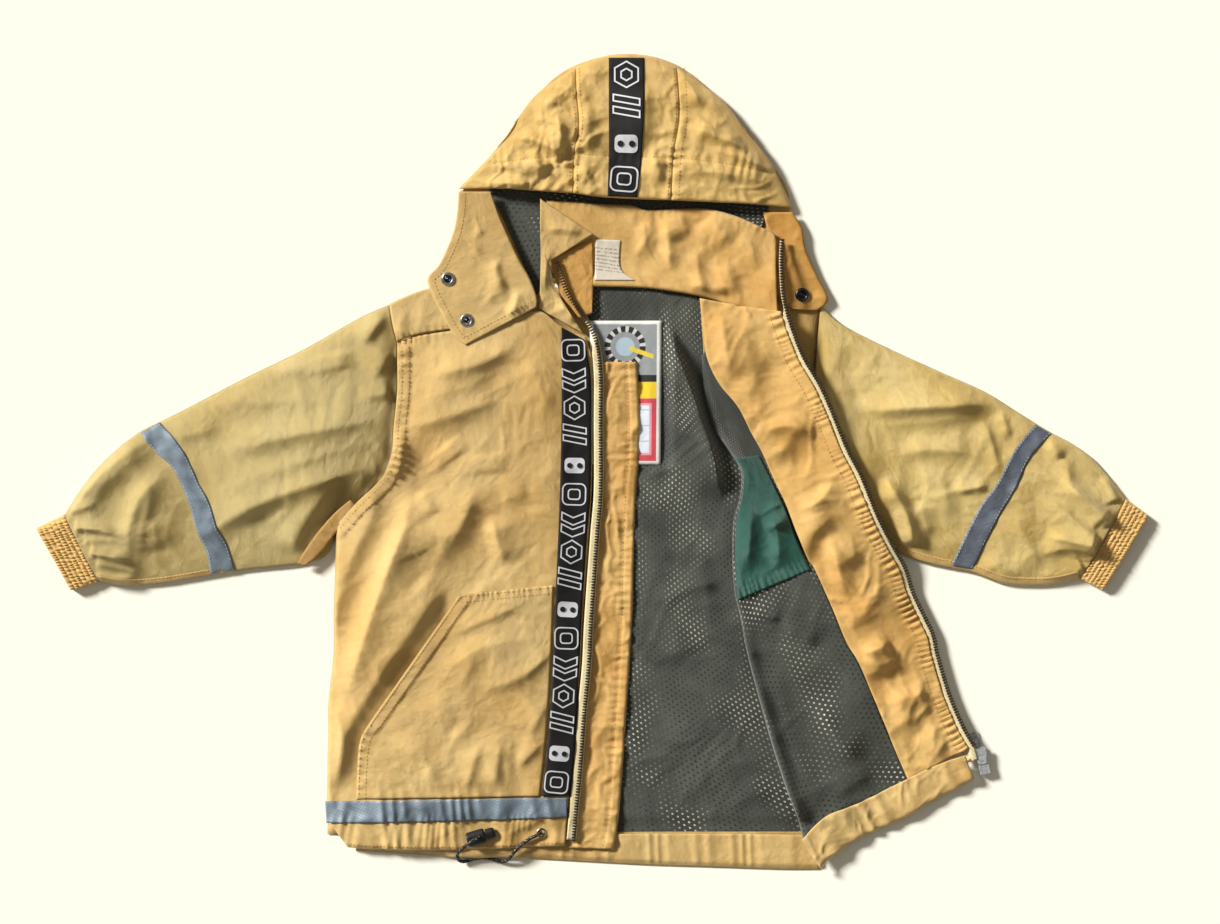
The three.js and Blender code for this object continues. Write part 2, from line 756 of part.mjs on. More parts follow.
// The slider: two plates joined by a wedge, and a bail under it for the pull tab.
// Its own frame has +X down the zip and +Z up.
function sliderPieces() {
  const plateOutline = [
    [-7.2, -4.2], [-6.2, -5.5], [-1, -5.1], [7.2, -3.2], [7.2, 3.2], [-1, 5.1], [-6.2, 5.5], [-7.2, 4.2],
  ];
  const wedge = [[-6.6, 0], [-3.6, -1.6], [3.4, -0.6], [3.4, 0.6], [-3.6, 1.6]];
  const low = 2.5;
  const plateWall = 0.9;
  const channel = 2.9;
  const lowerPlate = plate(plateOutline, low, low + plateWall);
  const upperPlate = plate(plateOutline, low + plateWall + channel, low + 2 * plateWall + channel);
  const core = plate(wedge, low + plateWall / 2, low + 1.5 * plateWall + channel);
  const bailWall = 0.7;
  const bailReach = 2.6;
  const bail = [
    block([2 * bailReach, 1.6, bailWall], [0, 0, 0.15 + bailWall / 2]),
    block([bailWall, 1.6, low], [bailReach - bailWall / 2, 0, 0.15 + low / 2]),
    block([bailWall, 1.6, low], [bailWall / 2 - bailReach, 0, 0.15 + low / 2]),
  ];
  const slider = named('zip_slider', union(lowerPlate, upperPlate, core, ...bail), steel);

  const pinRadius = 0.65;
  const pinZ = 1.66;
  const tabWall = 1.1;
  const tabTilt = 0.052; // the tab's tip rests on the surface below
  const pin = new THREE.CylinderGeometry(pinRadius, pinRadius, 4.4, 12);
  const body = plate(
    [[0, -2.2], [-5, -2.4], [-18, -3.2], [-20, -2.4], [-20, 2.4], [-18, 3.2], [-5, 2.4], [0, 2.2]],
    -tabWall / 2,
    tabWall / 2,
  );
  const opening = block([5.4, 2.4, 3], [-2.7, 0, 0]);
  const tab = named('zip_pull', union(cut(body, opening), pin), steel);
  tab.position.z = pinZ;
  tab.rotation.y = -tabTilt;

  const box = named('zip_box', block([8, 8.6, 3.6], [12, 0.4, 4.6]), steel);
  const assembly = new THREE.Group();
  assembly.position.set(SLIDER_AT[0], SLIDER_AT[1], 0);
  assembly.rotation.z = SLIDER_HEADING;
  assembly.add(slider, tab, box);
  add(assembly);
}

// ---------------------------------------------------------------- hood
function hoodPieces() {
  const seamRows = 6;
  const hood = (name, edges) => panel(name, yellow, edges, hoodLift, SHELL);
  add(
    hood('hood_centre', {
      left: along(hoodLeftSeam, seamRows),
      right: along(hoodRightSeam, seamRows),
      top: along([[-21, 334], [0, 343], [22, 346], [45, 343], [65, 334]], 6),
      bottom: along([[-23, 226], [4, 222.5], [60, 220]], 6),
    }),
    hood('hood_side_right', {
      left: along([[-76, 278], [-98, 254], [-121, 231]], 6),
      right: along(hoodLeftSeam, seamRows),
      top: along([[-76, 278], [-67, 295], [-51, 314], [-21, 334]], 5),
      bottom: along([[-121, 231], [-82, 230], [-45, 227.5], [-23, 226]], 5),
    }),
    hood('hood_side_left', {
      left: along(hoodRightSeam, seamRows),
      right: along([[124, 279], [142, 257], [153, 236], [164, 214]], 6),
      top: along([[65, 334], [86, 320], [107, 302], [124, 279]], 5),
      bottom: along([[60, 220], [99, 218.5], [139, 216.5], [164, 214]], 5),
    }),
    panel(
      'hood_ribbon',
      ribbonBlack,
      {
        left: along([[7, 342], [7, 300], [7, 260], [6, 223.5]], 9),
        right: along([[37, 342], [37, 300], [35, 260], [31, 222.5]], 9),
      },
      above(hoodLift, SHELL),
      TRIM,
      2,
    ),
    panel(
      'hood_back',
      yellow,
      {
        left: along([[-76, 278], [-98, 254], [-117, 228], [-95, 190], [-88, 153]], 8),
        right: along([[124, 279], [142, 257], [160, 226], [155, 185], [145, 150]], 8),
        top: along([[-76, 278], [-51, 314], [-22, 336], [22, 346], [66, 336], [107, 302], [124, 279]], 8),
        bottom: along([[-88, 153], [-40, 152], [20, 150], [90, 150], [145, 150]], 8),
      },
      onFloor,
      SHELL,
    ),
    panel(
      'hood_lining',
      mesh,
      {
        left: along([[-82, 260], [-95, 234], [-80, 200], [-66, 168], [-55, 140]], 6),
        right: along([[118, 260], [140, 232], [143, 215], [141, 205], [134, 190]], 6),
        top: along([[-82, 260], [20, 262], [118, 260]], 6),
        bottom: along([[-55, 140], [-30, 165], [20, 170], [90, 172], [134, 190]], 6),
      },
      level(HOOD_LINING_Z),
      TRIM,
    ),
    panel(
      'hood_tab_right',
      yellow,
      {
        left: along(
          [
            [-120, 228], [-121, 212], [-125, 192], [-136, 167], [-146, 155], [-143, 142], [-133, 122],
            [-123, 105], [-114, 98],
          ],
          10,
        ),
        right: along(
          [[-93, 228], [-86, 208], [-78, 190], [-69, 171], [-60, 155], [-54, 139], [-54, 130]],
          10,
        ),
      },
      tabLift,
      LINING,
      4,
    ),
    panel(
      'hood_tab_left',
      orange,
      {
        left: along([[138, 211], [141, 198], [148, 170], [150, 140], [163, 128.5]], 6),
        right: along([[163, 211], [171, 197], [174, 179], [184, 157], [193, 137], [183, 127.5]], 6),
      },
      level(LEFT_TAB_Z),
      LINING,
      2,
    ),
  );
}

// ---------------------------------------------------------------- snaps, eyelet, cord lock and drawcord
function snap(name, [x, y], z) {
  const profile = [
    [0, 0], [1, 0], [1, 0.16], [0.86, 1], [0.62, 1], [0.5, 0.55], [0.24, 0.55], [0.2, 0.85], [0, 0.85],
  ];
  const height = 1.9;
  const outline = profile.map(([r, h]) => new THREE.Vector2(r * SNAP_RADIUS, h * height));
  const ring = new THREE.LatheGeometry(outline, 20).rotateX(Math.PI / 2);
  const piece = named(name, outwards(ring), steel);
  piece.position.set(x, y, z);
  return piece;
}

const cordRoute = [
  [-49.4, -314.6, 9.9], [-52, -316, 11], [-55.5, -317.6, 11.3], [-60, -320, 10.9], [-65, -323.3, 10.2],
  [-69, -326.8, 9.9], [-72.4, -330.6, 9.4], [-75.4, -334.5, 8.1], [-78.6, -338, 5.9], [-82.2, -340, 3.5],
  [-87, -339.6, 2], [-93, -337.8, 1.7], [-100, -337, 1.6], [-107, -337.8, 1.7], [-112.8, -339.6, 2],
  [-117.4, -340, 3.6], [-120.4, -337.8, 6.2], [-121.2, -334.2, 9.2], [-119.8, -330.6, 12.2],
  [-117, -327.6, 15.1], [-113.4, -324.8, 17.5], [-109.2, -321.8, 18.7], [-105.4, -319, 18.6],
  [-102.8, -317.1, 17.2],
];

function hardware() {
  const snapSeat = tabLift(0, 0) + LINING + SEAM_GAP;
  add(
    snap('snap_right_upper', [-129, 154], tabLift(-129, 150) + LINING + SEAM_GAP),
    snap('snap_right_lower', [-113, 119], snapSeat),
    snap('snap_left', [171, 141], 4.4 + LINING + SEAM_GAP),
  );

  const hemTop = frontLift(-50, -315) + SHELL;
  const rim = [[2.8, 0], [4.2, 0], [4.2, 0.5], [3.5, 1.1], [2.8, 0.7]];
  const rimOutline = [...rim, rim[0]].map(([r, h]) => new THREE.Vector2(r, h));
  const eyelet = named(
    'eyelet',
    outwards(new THREE.LatheGeometry(rimOutline, 20).rotateX(Math.PI / 2)),
    steel,
  );
  eyelet.position.set(-50, -315, hemTop + LAYER_GAP);

  const barrel = [[0, 0], [5.2, 0], [6.4, 1.6], [6.4, 14.6], [5.6, 16], [0, 16]];
  const button = [[0, 0], [4.8, 0], [4.8, 5.4], [3.8, 7.6], [0, 7.6]];
  const turned = (outline) => {
    const shape = new THREE.LatheGeometry(outline.map(([r, h]) => new THREE.Vector2(r, h)), 16);
    return outwards(shape.rotateZ(-Math.PI / 2).scale(1, 1, 0.58));
  };
  const lock = named('cord_lock', turned(barrel), blackPlastic);
  const plunger = named('cord_lock_button', turned(button), blackPlastic);
  lock.position.x = -12.4;
  plunger.position.x = 4.4;
  const assembly = new THREE.Group();
  assembly.position.set(-101, -317.6, 12);
  assembly.rotation.z = THREE.MathUtils.degToRad(17);
  assembly.add(lock, plunger);

  const circle = new THREE.Shape();
  circle.absarc(0, 0, CORD_DIAMETER / 2, 0, 2 * Math.PI, false);
  const route = new THREE.CatmullRomCurve3(cordRoute.map((point) => new THREE.Vector3(...point)));
  const section = new THREE.Shape(circle.getPoints(4).filter((_, i, all) => i < all.length - 1));
  const cord = new THREE.ExtrudeGeometry(section, { steps: 34, extrudePath: route, bevelEnabled: false });
  add(eyelet, assembly, named('drawcord', outwards(cord), blackPlastic));
}

backPieces();
sleevePieces();
rightFrontPieces();
collarPieces();
leftFrontPieces();
zipPieces();
sliderPieces();
hoodPieces();
hardware();
jacket.position.set(...FRAME_SHIFT, 0);

export default jacket;
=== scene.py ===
"""The looks of a child's hooded rain jacket, laid out flat on its back with its zip open.

Plan points are in millimetres, in the flat plan that the jacket was cut and laid to: +x is the wearer's left,
+y the hood. MIDDLE moves them onto the frame's origin. Heights are in millimetres above the floor.
"""
import math

import bmesh
import bpy
import numpy as np
from mathutils import Matrix, Vector


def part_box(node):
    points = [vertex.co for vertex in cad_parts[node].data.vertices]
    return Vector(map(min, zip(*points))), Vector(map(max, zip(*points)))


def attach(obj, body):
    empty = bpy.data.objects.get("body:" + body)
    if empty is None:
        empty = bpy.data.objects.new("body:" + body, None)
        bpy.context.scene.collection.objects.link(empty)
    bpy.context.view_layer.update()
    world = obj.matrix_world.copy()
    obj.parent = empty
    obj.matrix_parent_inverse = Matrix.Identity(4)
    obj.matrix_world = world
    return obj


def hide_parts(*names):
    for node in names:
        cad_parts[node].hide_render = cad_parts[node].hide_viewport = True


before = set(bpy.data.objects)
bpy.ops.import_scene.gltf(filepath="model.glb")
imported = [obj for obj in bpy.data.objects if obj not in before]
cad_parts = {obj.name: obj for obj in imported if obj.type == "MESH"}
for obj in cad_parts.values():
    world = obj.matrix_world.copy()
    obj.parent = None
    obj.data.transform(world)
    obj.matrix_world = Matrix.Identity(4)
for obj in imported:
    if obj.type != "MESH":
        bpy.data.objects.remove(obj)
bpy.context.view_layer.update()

MM = 0.001
MIDDLE = (7.0, 0.57)
GAP = 0.6  # between a piece and what lies on it
SHELL = 1.5
LINING = 1.2
HAIR = 1e-6  # less than any step of a grid
NARROWEST = 10.5  # width of a declared cut
WINDOW = (-1.5, 0.95, 0.98)  # where the light comes from, in metres

FOLD_DEPTH = 1.85  # how strongly every listed fold is pressed
RIDGE_WIDTH = 1.15  # of a fold's listed width
SLOPE_DEPTH = 0.62  # of a ridge's depth, for a shaded slope
SLOPE_SHIFT = 0.7  # of the listed width, from the route towards the light
SLOPE_REACH = 2.6  # of the listed width, on the lit side
SLOPE_CREASE = 1.5
EASE = 0.7  # how softly a height comes down onto its floor

# ------------------------------------------------------------------ lines on the plan


def smooth_line(points, steps=12):
    """A smooth line through the listed points, as closely spaced points."""
    listed = np.array(points, float)
    if len(listed) == 2:
        share = np.linspace(0, 1, steps + 1)[:, None]
        return listed[0] + (listed[1] - listed[0]) * share
    ends = np.vstack([listed[0], listed, listed[-1]])
    t = np.linspace(0, 1, steps, endpoint=False)[:, None]
    pieces = []
    for a, b, c, d in zip(ends, ends[1:], ends[2:], ends[3:]):
        bend = (2 * a - 5 * b + 4 * c - d) * t**2 + (3 * b - a - 3 * c + d) * t**3
        pieces.append(0.5 * (2 * b + (c - a) * t + bend))
    return np.vstack([*pieces, listed[-1]])


def lengths(line):
    return np.concatenate([[0], np.cumsum(np.linalg.norm(np.diff(line, axis=0), axis=1))])


def at(line, share):
    """Points at shares, from 0 to 1, of a line's length."""
    run = lengths(line)
    return np.stack([np.interp(np.asarray(share) * run[-1], run, line[:, k]) for k in range(line.shape[1])], axis=-1)


def spaced(line, count):
    return at(line, np.linspace(0, 1, count + 1))


def beside(line, distance):
    """The line moved sideways, to the right of its own direction when the distance is positive."""
    heading = np.gradient(line, axis=0)
    heading /= np.linalg.norm(heading, axis=1)[:, None]
    return line + np.stack([heading[:, 1], -heading[:, 0]], axis=-1) * distance


def join(*lines):
    return np.vstack(lines)


def from_line(x, y, line):
    """How far points lie from a line, positive on its left, and how far along it they are."""
    nearest = np.full(x.shape, np.inf)
    side = np.ones(x.shape)
    along = np.zeros(x.shape)
    for (ax, ay), (bx, by), run in zip(line, line[1:], lengths(line)):
        dx, dy = bx - ax, by - ay
        size = math.hypot(dx, dy)
        if size < 1e-9:
            continue
        t = np.clip(((x - ax) * dx + (y - ay) * dy) / size**2, 0, 1)
        px, py = x - ax - t * dx, y - ay - t * dy
        away = np.hypot(px, py)
        closer = away < nearest
        nearest = np.where(closer, away, nearest)
        side = np.where(closer, np.where(dx * py - dy * px >= 0, 1.0, -1.0), side)
        along = np.where(closer, run + t * size, along)
    return nearest * side, along


# ------------------------------------------------------------------ heights


def rising(start, end, value):
    """0 before start and 1 after end, with an easy slope between them; start may be the larger."""
    t = np.clip((value - start) / (end - start), 0, 1)
    return t * t * (3 - 2 * t)


def mound(x, y, centre, reach):
    return np.exp(-(((x - centre[0]) / reach[0]) ** 2) - ((y - centre[1]) / reach[1]) ** 2)


def ripple(x, y, size, seed, waves=14):
    """An even, random-looking swell of about unit height, its waves about size long."""
    draw = np.random.default_rng(seed)
    total = 0
    for _ in range(waves):
        heading, phase = draw.uniform(0, 2 * math.pi, 2)
        pitch = size * draw.uniform(0.6, 1.7)
        total = total + np.sin((x * math.cos(heading) + y * math.sin(heading)) * 2 * math.pi / pitch + phase)
    return total / math.sqrt(waves / 2)


def crumple(x, y, size, seed):
    """Creased cloth: soft hollows between sharp crests, about 0 to 1 high."""
    bent_x = x + 0.25 * size * ripple(x, y, 2.1 * size, seed + 1)
    bent_y = y + 0.25 * size * ripple(x, y, 2.1 * size, seed + 2)
    first = np.abs(ripple(bent_x, bent_y, 1.6 * size, seed + 3, 9))
    second = np.abs(ripple(bent_x, bent_y, 0.9 * size, seed + 4, 9))
    return np.clip(1 - 0.8 * first, 0, 1) * 0.7 + np.clip(1 - 0.8 * second, 0, 1) * 0.3


def fold(x, y, route, height, width, lean=0.0, crease=1.4, ends=(0.35, 0.35)):
    """One fold along a route. With lean it is wider on the left of its direction and steeper on the right.

    A negative height makes the shaded slope of a wide ridge that lies beside the route, towards the light.
    """
    line = spaced(smooth_line(route), 12)
    off, run = from_line(x, y, line)
    share = run / lengths(line)[-1]
    taper = rising(0, ends[0], share) * rising(0, ends[1], 1 - share)
    if height < 0:
        dx, dy = line[-1] - line[0]
        towards_light = 1 if dx * WINDOW[1] - dy * WINDOW[0] > 0 else -1
        off = off * towards_light - SLOPE_SHIFT * width
        reach = np.where(off > 0, SLOPE_REACH * width, width)
        return -SLOPE_DEPTH * FOLD_DEPTH * height * np.exp(-(np.abs(off / reach) ** SLOPE_CREASE)) * taper
    reach = np.where(off > 0, width * (1 + lean), width * (1 - lean)) * RIDGE_WIDTH
    return FOLD_DEPTH * height * np.exp(-(np.abs(off / reach) ** crease)) * taper


def folds(x, y, listed):
    return sum(fold(x, y, *one) for one in listed)


def settled(height, floor):
    """A height that eases down onto the floor beneath it."""
    return floor + EASE * np.log1p(np.exp((height - floor) / EASE))


def above(face, lift):
    """The height a little above another face."""
    return lambda x, y: face(x, y) + lift


def bare_floor(x, y):
    """The upper face of shell cloth that lies on the floor."""
    return SHELL + 0 * x


def calm_round(x, y, spots):
    """1 over most of a face, falling to 0 where something sits flat; spots are centres and reaches."""
    return 1 - sum(np.exp(-(np.hypot(x - cx, y - cy) / reach) ** 4) for (cx, cy), reach in spots)


def puckers(x, y, line, pitch, height, reach, seed=1):
    """The short ripples that a tight seam draws up on both sides of it."""
    off, run = from_line(x, y, line)
    wander = 0.35 * ripple(run, 0 * run, 6 * pitch, seed)
    wave = np.sin(2 * math.pi * (run / pitch + wander))
    strength = 0.65 + 0.35 * ripple(run, 0 * run, 9 * pitch, seed + 7)
    return height * wave * strength * np.exp(-((off / reach) ** 2))


def groove(x, y, line, depth, width):
    off, _ = from_line(x, y, line)
    return -depth * np.exp(-((off / width) ** 2))


def rolled(x, y, line, radius, depth):
    """How far a folded edge turns down beside its line."""
    off, _ = from_line(x, y, line)
    near = np.clip(1 - np.abs(off) / radius, 0, 1)
    return -depth * (1 - np.sqrt(1 - near**2))


# ------------------------------------------------------------------ outlines that several pieces share
YOKE_ARMHOLE = smooth_line([(-179, 133), (-176, 115), (-172, 101)])
FRONT_ARMHOLE = smooth_line(
    [(-172, 101), (-172, 86), (-172, 60), (-175, 29), (-176, 9), (-182, -10), (-192, -22), (-207, -36), (-224, -55)]
)
RIGHT_ARMHOLE = join(YOKE_ARMHOLE, FRONT_ARMHOLE)
LEFT_ARMHOLE = smooth_line([(187, 132), (184, 100), (182, 60), (186, 20), (194, -10), (210, -38), (232, -62)])
FRONT_SIDE = smooth_line([(-224, -55), (-226, -126), (-227, -165), (-231, -204), (-231, -233), (-233, -297)])
RIGHT_TEETH = [
    (-37, 168), (-28, 142), (-11, 117), (-3, 99), (0, 73), (0, 34), (0, -25), (-3, -63), (-8, -133), (-10, -173),
    (-14, -215), (-17, -256), (-21, -298), (-23, -321),
]
LEFT_ZIP = [
    (155, 187), (154, 167), (155, 144), (158, 128), (163, 112), (172, 89), (186, 65), (196, 43), (204, 23), (211, 7),
    (221, -12), (235, -46), (248, -71), (259, -90), (266, -111), (275, -130), (283, -147), (287, -165), (297, -198),
    (308, -224), (317, -240), (321, -253), (324, -266),
]
DOOR_FOLD = smooth_line([
    (83, 136), (85, 105), (86, 85), (89, 50), (97, 26), (110, 7), (119, -9), (118, -31), (113, -51), (112, -84),
    (114, -112), (119, -133), (123, -157), (130, -186), (138, -215), (147, -246), (157, -277), (167, -303), (172, -321),
])
FACING_EDGE = smooth_line([
    (84, 138), (87, 112), (90, 88), (100, 66), (116, 46), (128, 23), (137, 7), (147, -16), (157, -37), (166, -61),
    (176, -84), (181, -91), (196, -124), (208, -153), (220, -174), (240, -221), (249, -243), (261, -271),
])
DOOR_HEM = [(173, -323), (192, -304), (223, -291.5), (261, -272.5), (289, -259.5), (310, -252)]
LEFT_ZIP_LINE = smooth_line(LEFT_ZIP)
DOOR_ZIP = smooth_line(LEFT_ZIP[3:-2])  # below the collar
DOOR_ZIP_SIDE = beside(DOOR_ZIP, 5.8)
HOOD_LEFT_SEAM = smooth_line([(-21, 334), (-20, 309), (-18, 284), (-22, 259), (-23, 226)])
HOOD_RIGHT_SEAM = smooth_line([(65, 334), (67, 292), (62, 259), (60, 220)])
HOOD_OUTLINE = smooth_line([
    (-121, 231), (-98, 254), (-76, 278), (-67, 295), (-51, 314), (-21, 334), (0, 343), (22, 346), (45, 343),
    (65, 334), (86, 320), (107, 302), (124, 279), (142, 257), (153, 236), (164, 214),
])
HOOD_BRIM = smooth_line(
    [(-121, 231), (-82, 230), (-45, 227.5), (-23, 226), (4, 222.5), (60, 220), (99, 218.5), (164, 214)]
)
RIGHT_SLEEVE_TOP = smooth_line([
    (-179, 133), (-204, 122), (-252, 95), (-305, 69), (-351, 45), (-373, 34), (-391, 25), (-412, 9), (-431, -10),
    (-443, -26), (-455, -45),
])
SLEEVE_CORNER = (-189.4, -19.4)  # below it the right armhole runs on as the underarm fold
RIGHT_SLEEVE_ARMHOLE = join(YOKE_ARMHOLE, FRONT_ARMHOLE[FRONT_ARMHOLE[:, 1] > SLEEVE_CORNER[1]])
RIGHT_UNDERARM = FRONT_ARMHOLE[FRONT_ARMHOLE[:, 1] <= SLEEVE_CORNER[1]]
RIGHT_SLEEVE_FOOT = smooth_line(
    [(-224, -55), (-232, -80), (-255, -88), (-301, -93), (-334, -98), (-371, -104), (-402, -106), (-425, -103)]
)
RIGHT_SLEEVE_FOOT = join(RIGHT_SLEEVE_ARMHOLE[-1:], RIGHT_UNDERARM, RIGHT_SLEEVE_FOOT[1:])
RIGHT_WRIST = smooth_line([(-455, -45), (-440, -74), (-425, -103)])
LEFT_SLEEVE_TOP = smooth_line([
    (187, 132), (207, 115), (244, 96), (288, 76), (326, 59), (352, 43), (368, 33), (383, 24), (400, 15), (418, 2),
    (433, -15), (446, -32),
])
LEFT_SLEEVE_FOOT = smooth_line([
    (232, -62), (257, -80), (277, -87), (296, -91), (316, -95), (341, -104), (363, -106), (385, -105), (407, -100),
])
LEFT_WRIST = smooth_line([(446, -32), (427, -66), (407, -100)])


# ------------------------------------------------------------------ finishes


def paint(red, green, blue):
    """A paint chart colour, 0 to 255 each, as the shader's linear colour."""
    shares = [part / 255 for part in (red, green, blue)]
    return (*[s / 12.92 if s <= 0.04045 else ((s + 0.055) / 1.055) ** 2.4 for s in shares], 1.0)


class Finish:
    """A material, with short words for wiring its nodes."""

    def __init__(self, name, **sockets):
        self.material = bpy.data.materials.new(name)
        self.material.use_nodes = True
        self.nodes = self.material.node_tree.nodes
        self.shader = self.nodes["Principled BSDF"]
        for socket, value in sockets.items():
            self.shader.inputs[socket.replace("_", " ").title().replace("Ior", "IOR")].default_value = value

    def wire(self, value, socket):
        if isinstance(value, bpy.types.NodeSocket):
            self.material.node_tree.links.new(value, socket)
        else:
            socket.default_value = value

    def node(self, kind, settings=None, **inputs):
        made = self.nodes.new(kind)
        for key, value in (settings or {}).items():
            setattr(made, key, value)
        for key, value in inputs.items():
            self.wire(value, made.inputs[key])
        return made

    def on_cloth(self, turned=0.0):
        """The piece's own flat pattern, in metres."""
        plan = self.node("ShaderNodeUVMap", {"uv_map": "cloth"}).outputs["UV"]
        return self.node("ShaderNodeMapping", Vector=plan, Rotation=(0, 0, turned)).outputs["Vector"]

    def on_object(self):
        return self.node("ShaderNodeTexCoord").outputs["Object"]

    def sum(self, operation, first, second=0.0, third=0.0, clamp=False):
        made = self.nodes.new("ShaderNodeMath")
        made.operation = operation
        made.use_clamp = clamp
        for value, socket in zip((first, second, third), made.inputs):
            self.wire(value, socket)
        return made.outputs[0]

    def plus(self, first, second):
        return self.sum("ADD", first, second)

    def times(self, first, second):
        return self.sum("MULTIPLY", first, second)

    def apart(self, vector):
        split = self.node("ShaderNodeSeparateXYZ", Vector=vector)
        return split.outputs["X"], split.outputs["Y"]

    def noise(self, vector, scale, detail=3.0, distortion=0.0):
        made = self.node("ShaderNodeTexNoise", Vector=vector, Scale=scale, Detail=detail, Distortion=distortion)
        return made.outputs["Fac"]

    def between(self, value, low, high):
        """0 below low and 1 above high."""
        made = self.node("ShaderNodeMapRange", {"interpolation_type": "SMOOTHSTEP"}, Value=value)
        made.inputs["From Min"].default_value = low
        made.inputs["From Max"].default_value = high
        return made.outputs["Result"]

    def bent(self, vector, scale, size):
        """The vector pushed about by a noise, so that straight patterns wander."""
        swirl = self.node("ShaderNodeTexNoise", Vector=vector, Scale=scale, Detail=2.0).outputs["Color"]
        made = self.nodes.new("ShaderNodeVectorMath")
        made.operation = "MULTIPLY_ADD"
        for value, socket in zip((swirl, (size, size, size), vector), made.inputs):
            self.wire(value, socket)
        return made.outputs["Vector"]

    def creases(self, vector, scale):
        """Crisp crease lines: 0 along each, 1 away from them."""
        cells = self.node(
            "ShaderNodeTexVoronoi", {"feature": "DISTANCE_TO_EDGE"}, Vector=self.bent(vector, 1.2 * scale, 0.6 / scale),
            Scale=scale,
        )
        return self.between(cells.outputs["Distance"], 0.0, 0.28)

    def mixed(self, share, first, second):
        made = self.nodes.new("ShaderNodeMix")
        made.data_type = "RGBA"
        self.wire(share, made.inputs[0])
        self.wire(first, made.inputs[6])
        self.wire(second, made.inputs[7])
        return made.outputs[2]

    def colour(self, value):
        self.wire(value, self.shader.inputs["Base Color"])

    def roughness(self, value):
        self.wire(value, self.shader.inputs["Roughness"])

    def raised(self, *layers):
        """Bump layers, each a height and its depth in metres."""
        normal = None
        for height, depth in layers:
            made = self.node("ShaderNodeBump", Height=height, Distance=depth)
            if normal is not None:
                self.wire(normal, made.inputs["Normal"])
            normal = made.outputs["Normal"]
        self.wire(normal, self.shader.inputs["Normal"])

    def weave(self, vector, pitch):
        """Warp over weft: two sets of threads crossing at right angles."""
        across, along = self.apart(vector)
        turn = 2 * math.pi / pitch
        warp = self.sum("SINE", self.times(across, turn))
        weft = self.sum("SINE", self.times(along, turn))
        return self.times(warp, weft)


def woven_cloth(name, light, deep, roughness, sheen, sheen_roughness=0.4):
    """Thin proofed poplin: a fine weave, small creases, and a tone that drifts from light to deep."""
    finish = Finish(name, roughness=roughness, sheen_weight=sheen, sheen_roughness=sheen_roughness)
    plan = finish.on_cloth()
    drift = finish.noise(plan, 9.0, 3.0)
    mottle = finish.noise(plan, 160.0, 3.0)
    tone = finish.between(finish.plus(drift, finish.times(mottle, 0.25)), 0.42, 0.85)
    threads = finish.weave(plan, 0.0006)
    colour = finish.mixed(tone, light, deep)
    slub = finish.between(finish.plus(finish.noise(plan, 900.0, 2.0), finish.times(threads, 0.12)), 0.3, 0.75)
    finish.colour(finish.mixed(finish.times(slub, 0.16), colour, deep))
    finish.roughness(finish.sum("MULTIPLY_ADD", mottle, 0.22, roughness - 0.11))
    soft = finish.noise(plan, 55.0, 4.0, 0.15)
    finish.raised(
        (soft, 0.0011), (finish.creases(plan, 17.0), 0.0009), (finish.creases(plan, 41.0), 0.00035),
        (finish.noise(plan, 260.0, 3.0), 0.00035), (threads, 0.00007),
    )
    return finish.material


SHELL_YELLOW = woven_cloth("shell_yellow", paint(218, 188, 124), paint(204, 164, 92), 0.5, 0.25)
SLEEVE_YELLOW = woven_cloth("sleeve_yellow", paint(200, 181, 122), paint(180, 155, 90), 0.42, 0.35, 0.35)
# the sleeve cloth again, painted lighter for the left sleeve: painted light, for the light it misses and for its sheen
LEFT_SLEEVE_PAINTED_LIGHT = woven_cloth("left_sleeve_painted_light", paint(220, 196, 128), paint(198, 166, 88), 0.36, 0.35, 0.35)
HOOD_YELLOW = woven_cloth("hood_yellow", paint(226, 192, 118), paint(196, 156, 78), 0.4, 0.3, 0.35)
FACING_ORANGE = woven_cloth("facing_orange", paint(224, 186, 114), paint(206, 156, 78), 0.48, 0.25)
INSIDE_ORANGE = woven_cloth("inside_orange", paint(218, 168, 86), paint(190, 132, 48), 0.5, 0.2)
# the turned seam's tan, both tones darkened as painted shade of the underarm hollow
SEAM_TAN_PAINTED_SHADE = woven_cloth("seam_tan_painted_shade", paint(196, 156, 86), paint(150, 106, 44), 0.5, 0.2)
BAG_GREEN = woven_cloth("pocket_bag_green", paint(40, 100, 88), paint(22, 68, 60), 0.42, 0.3)


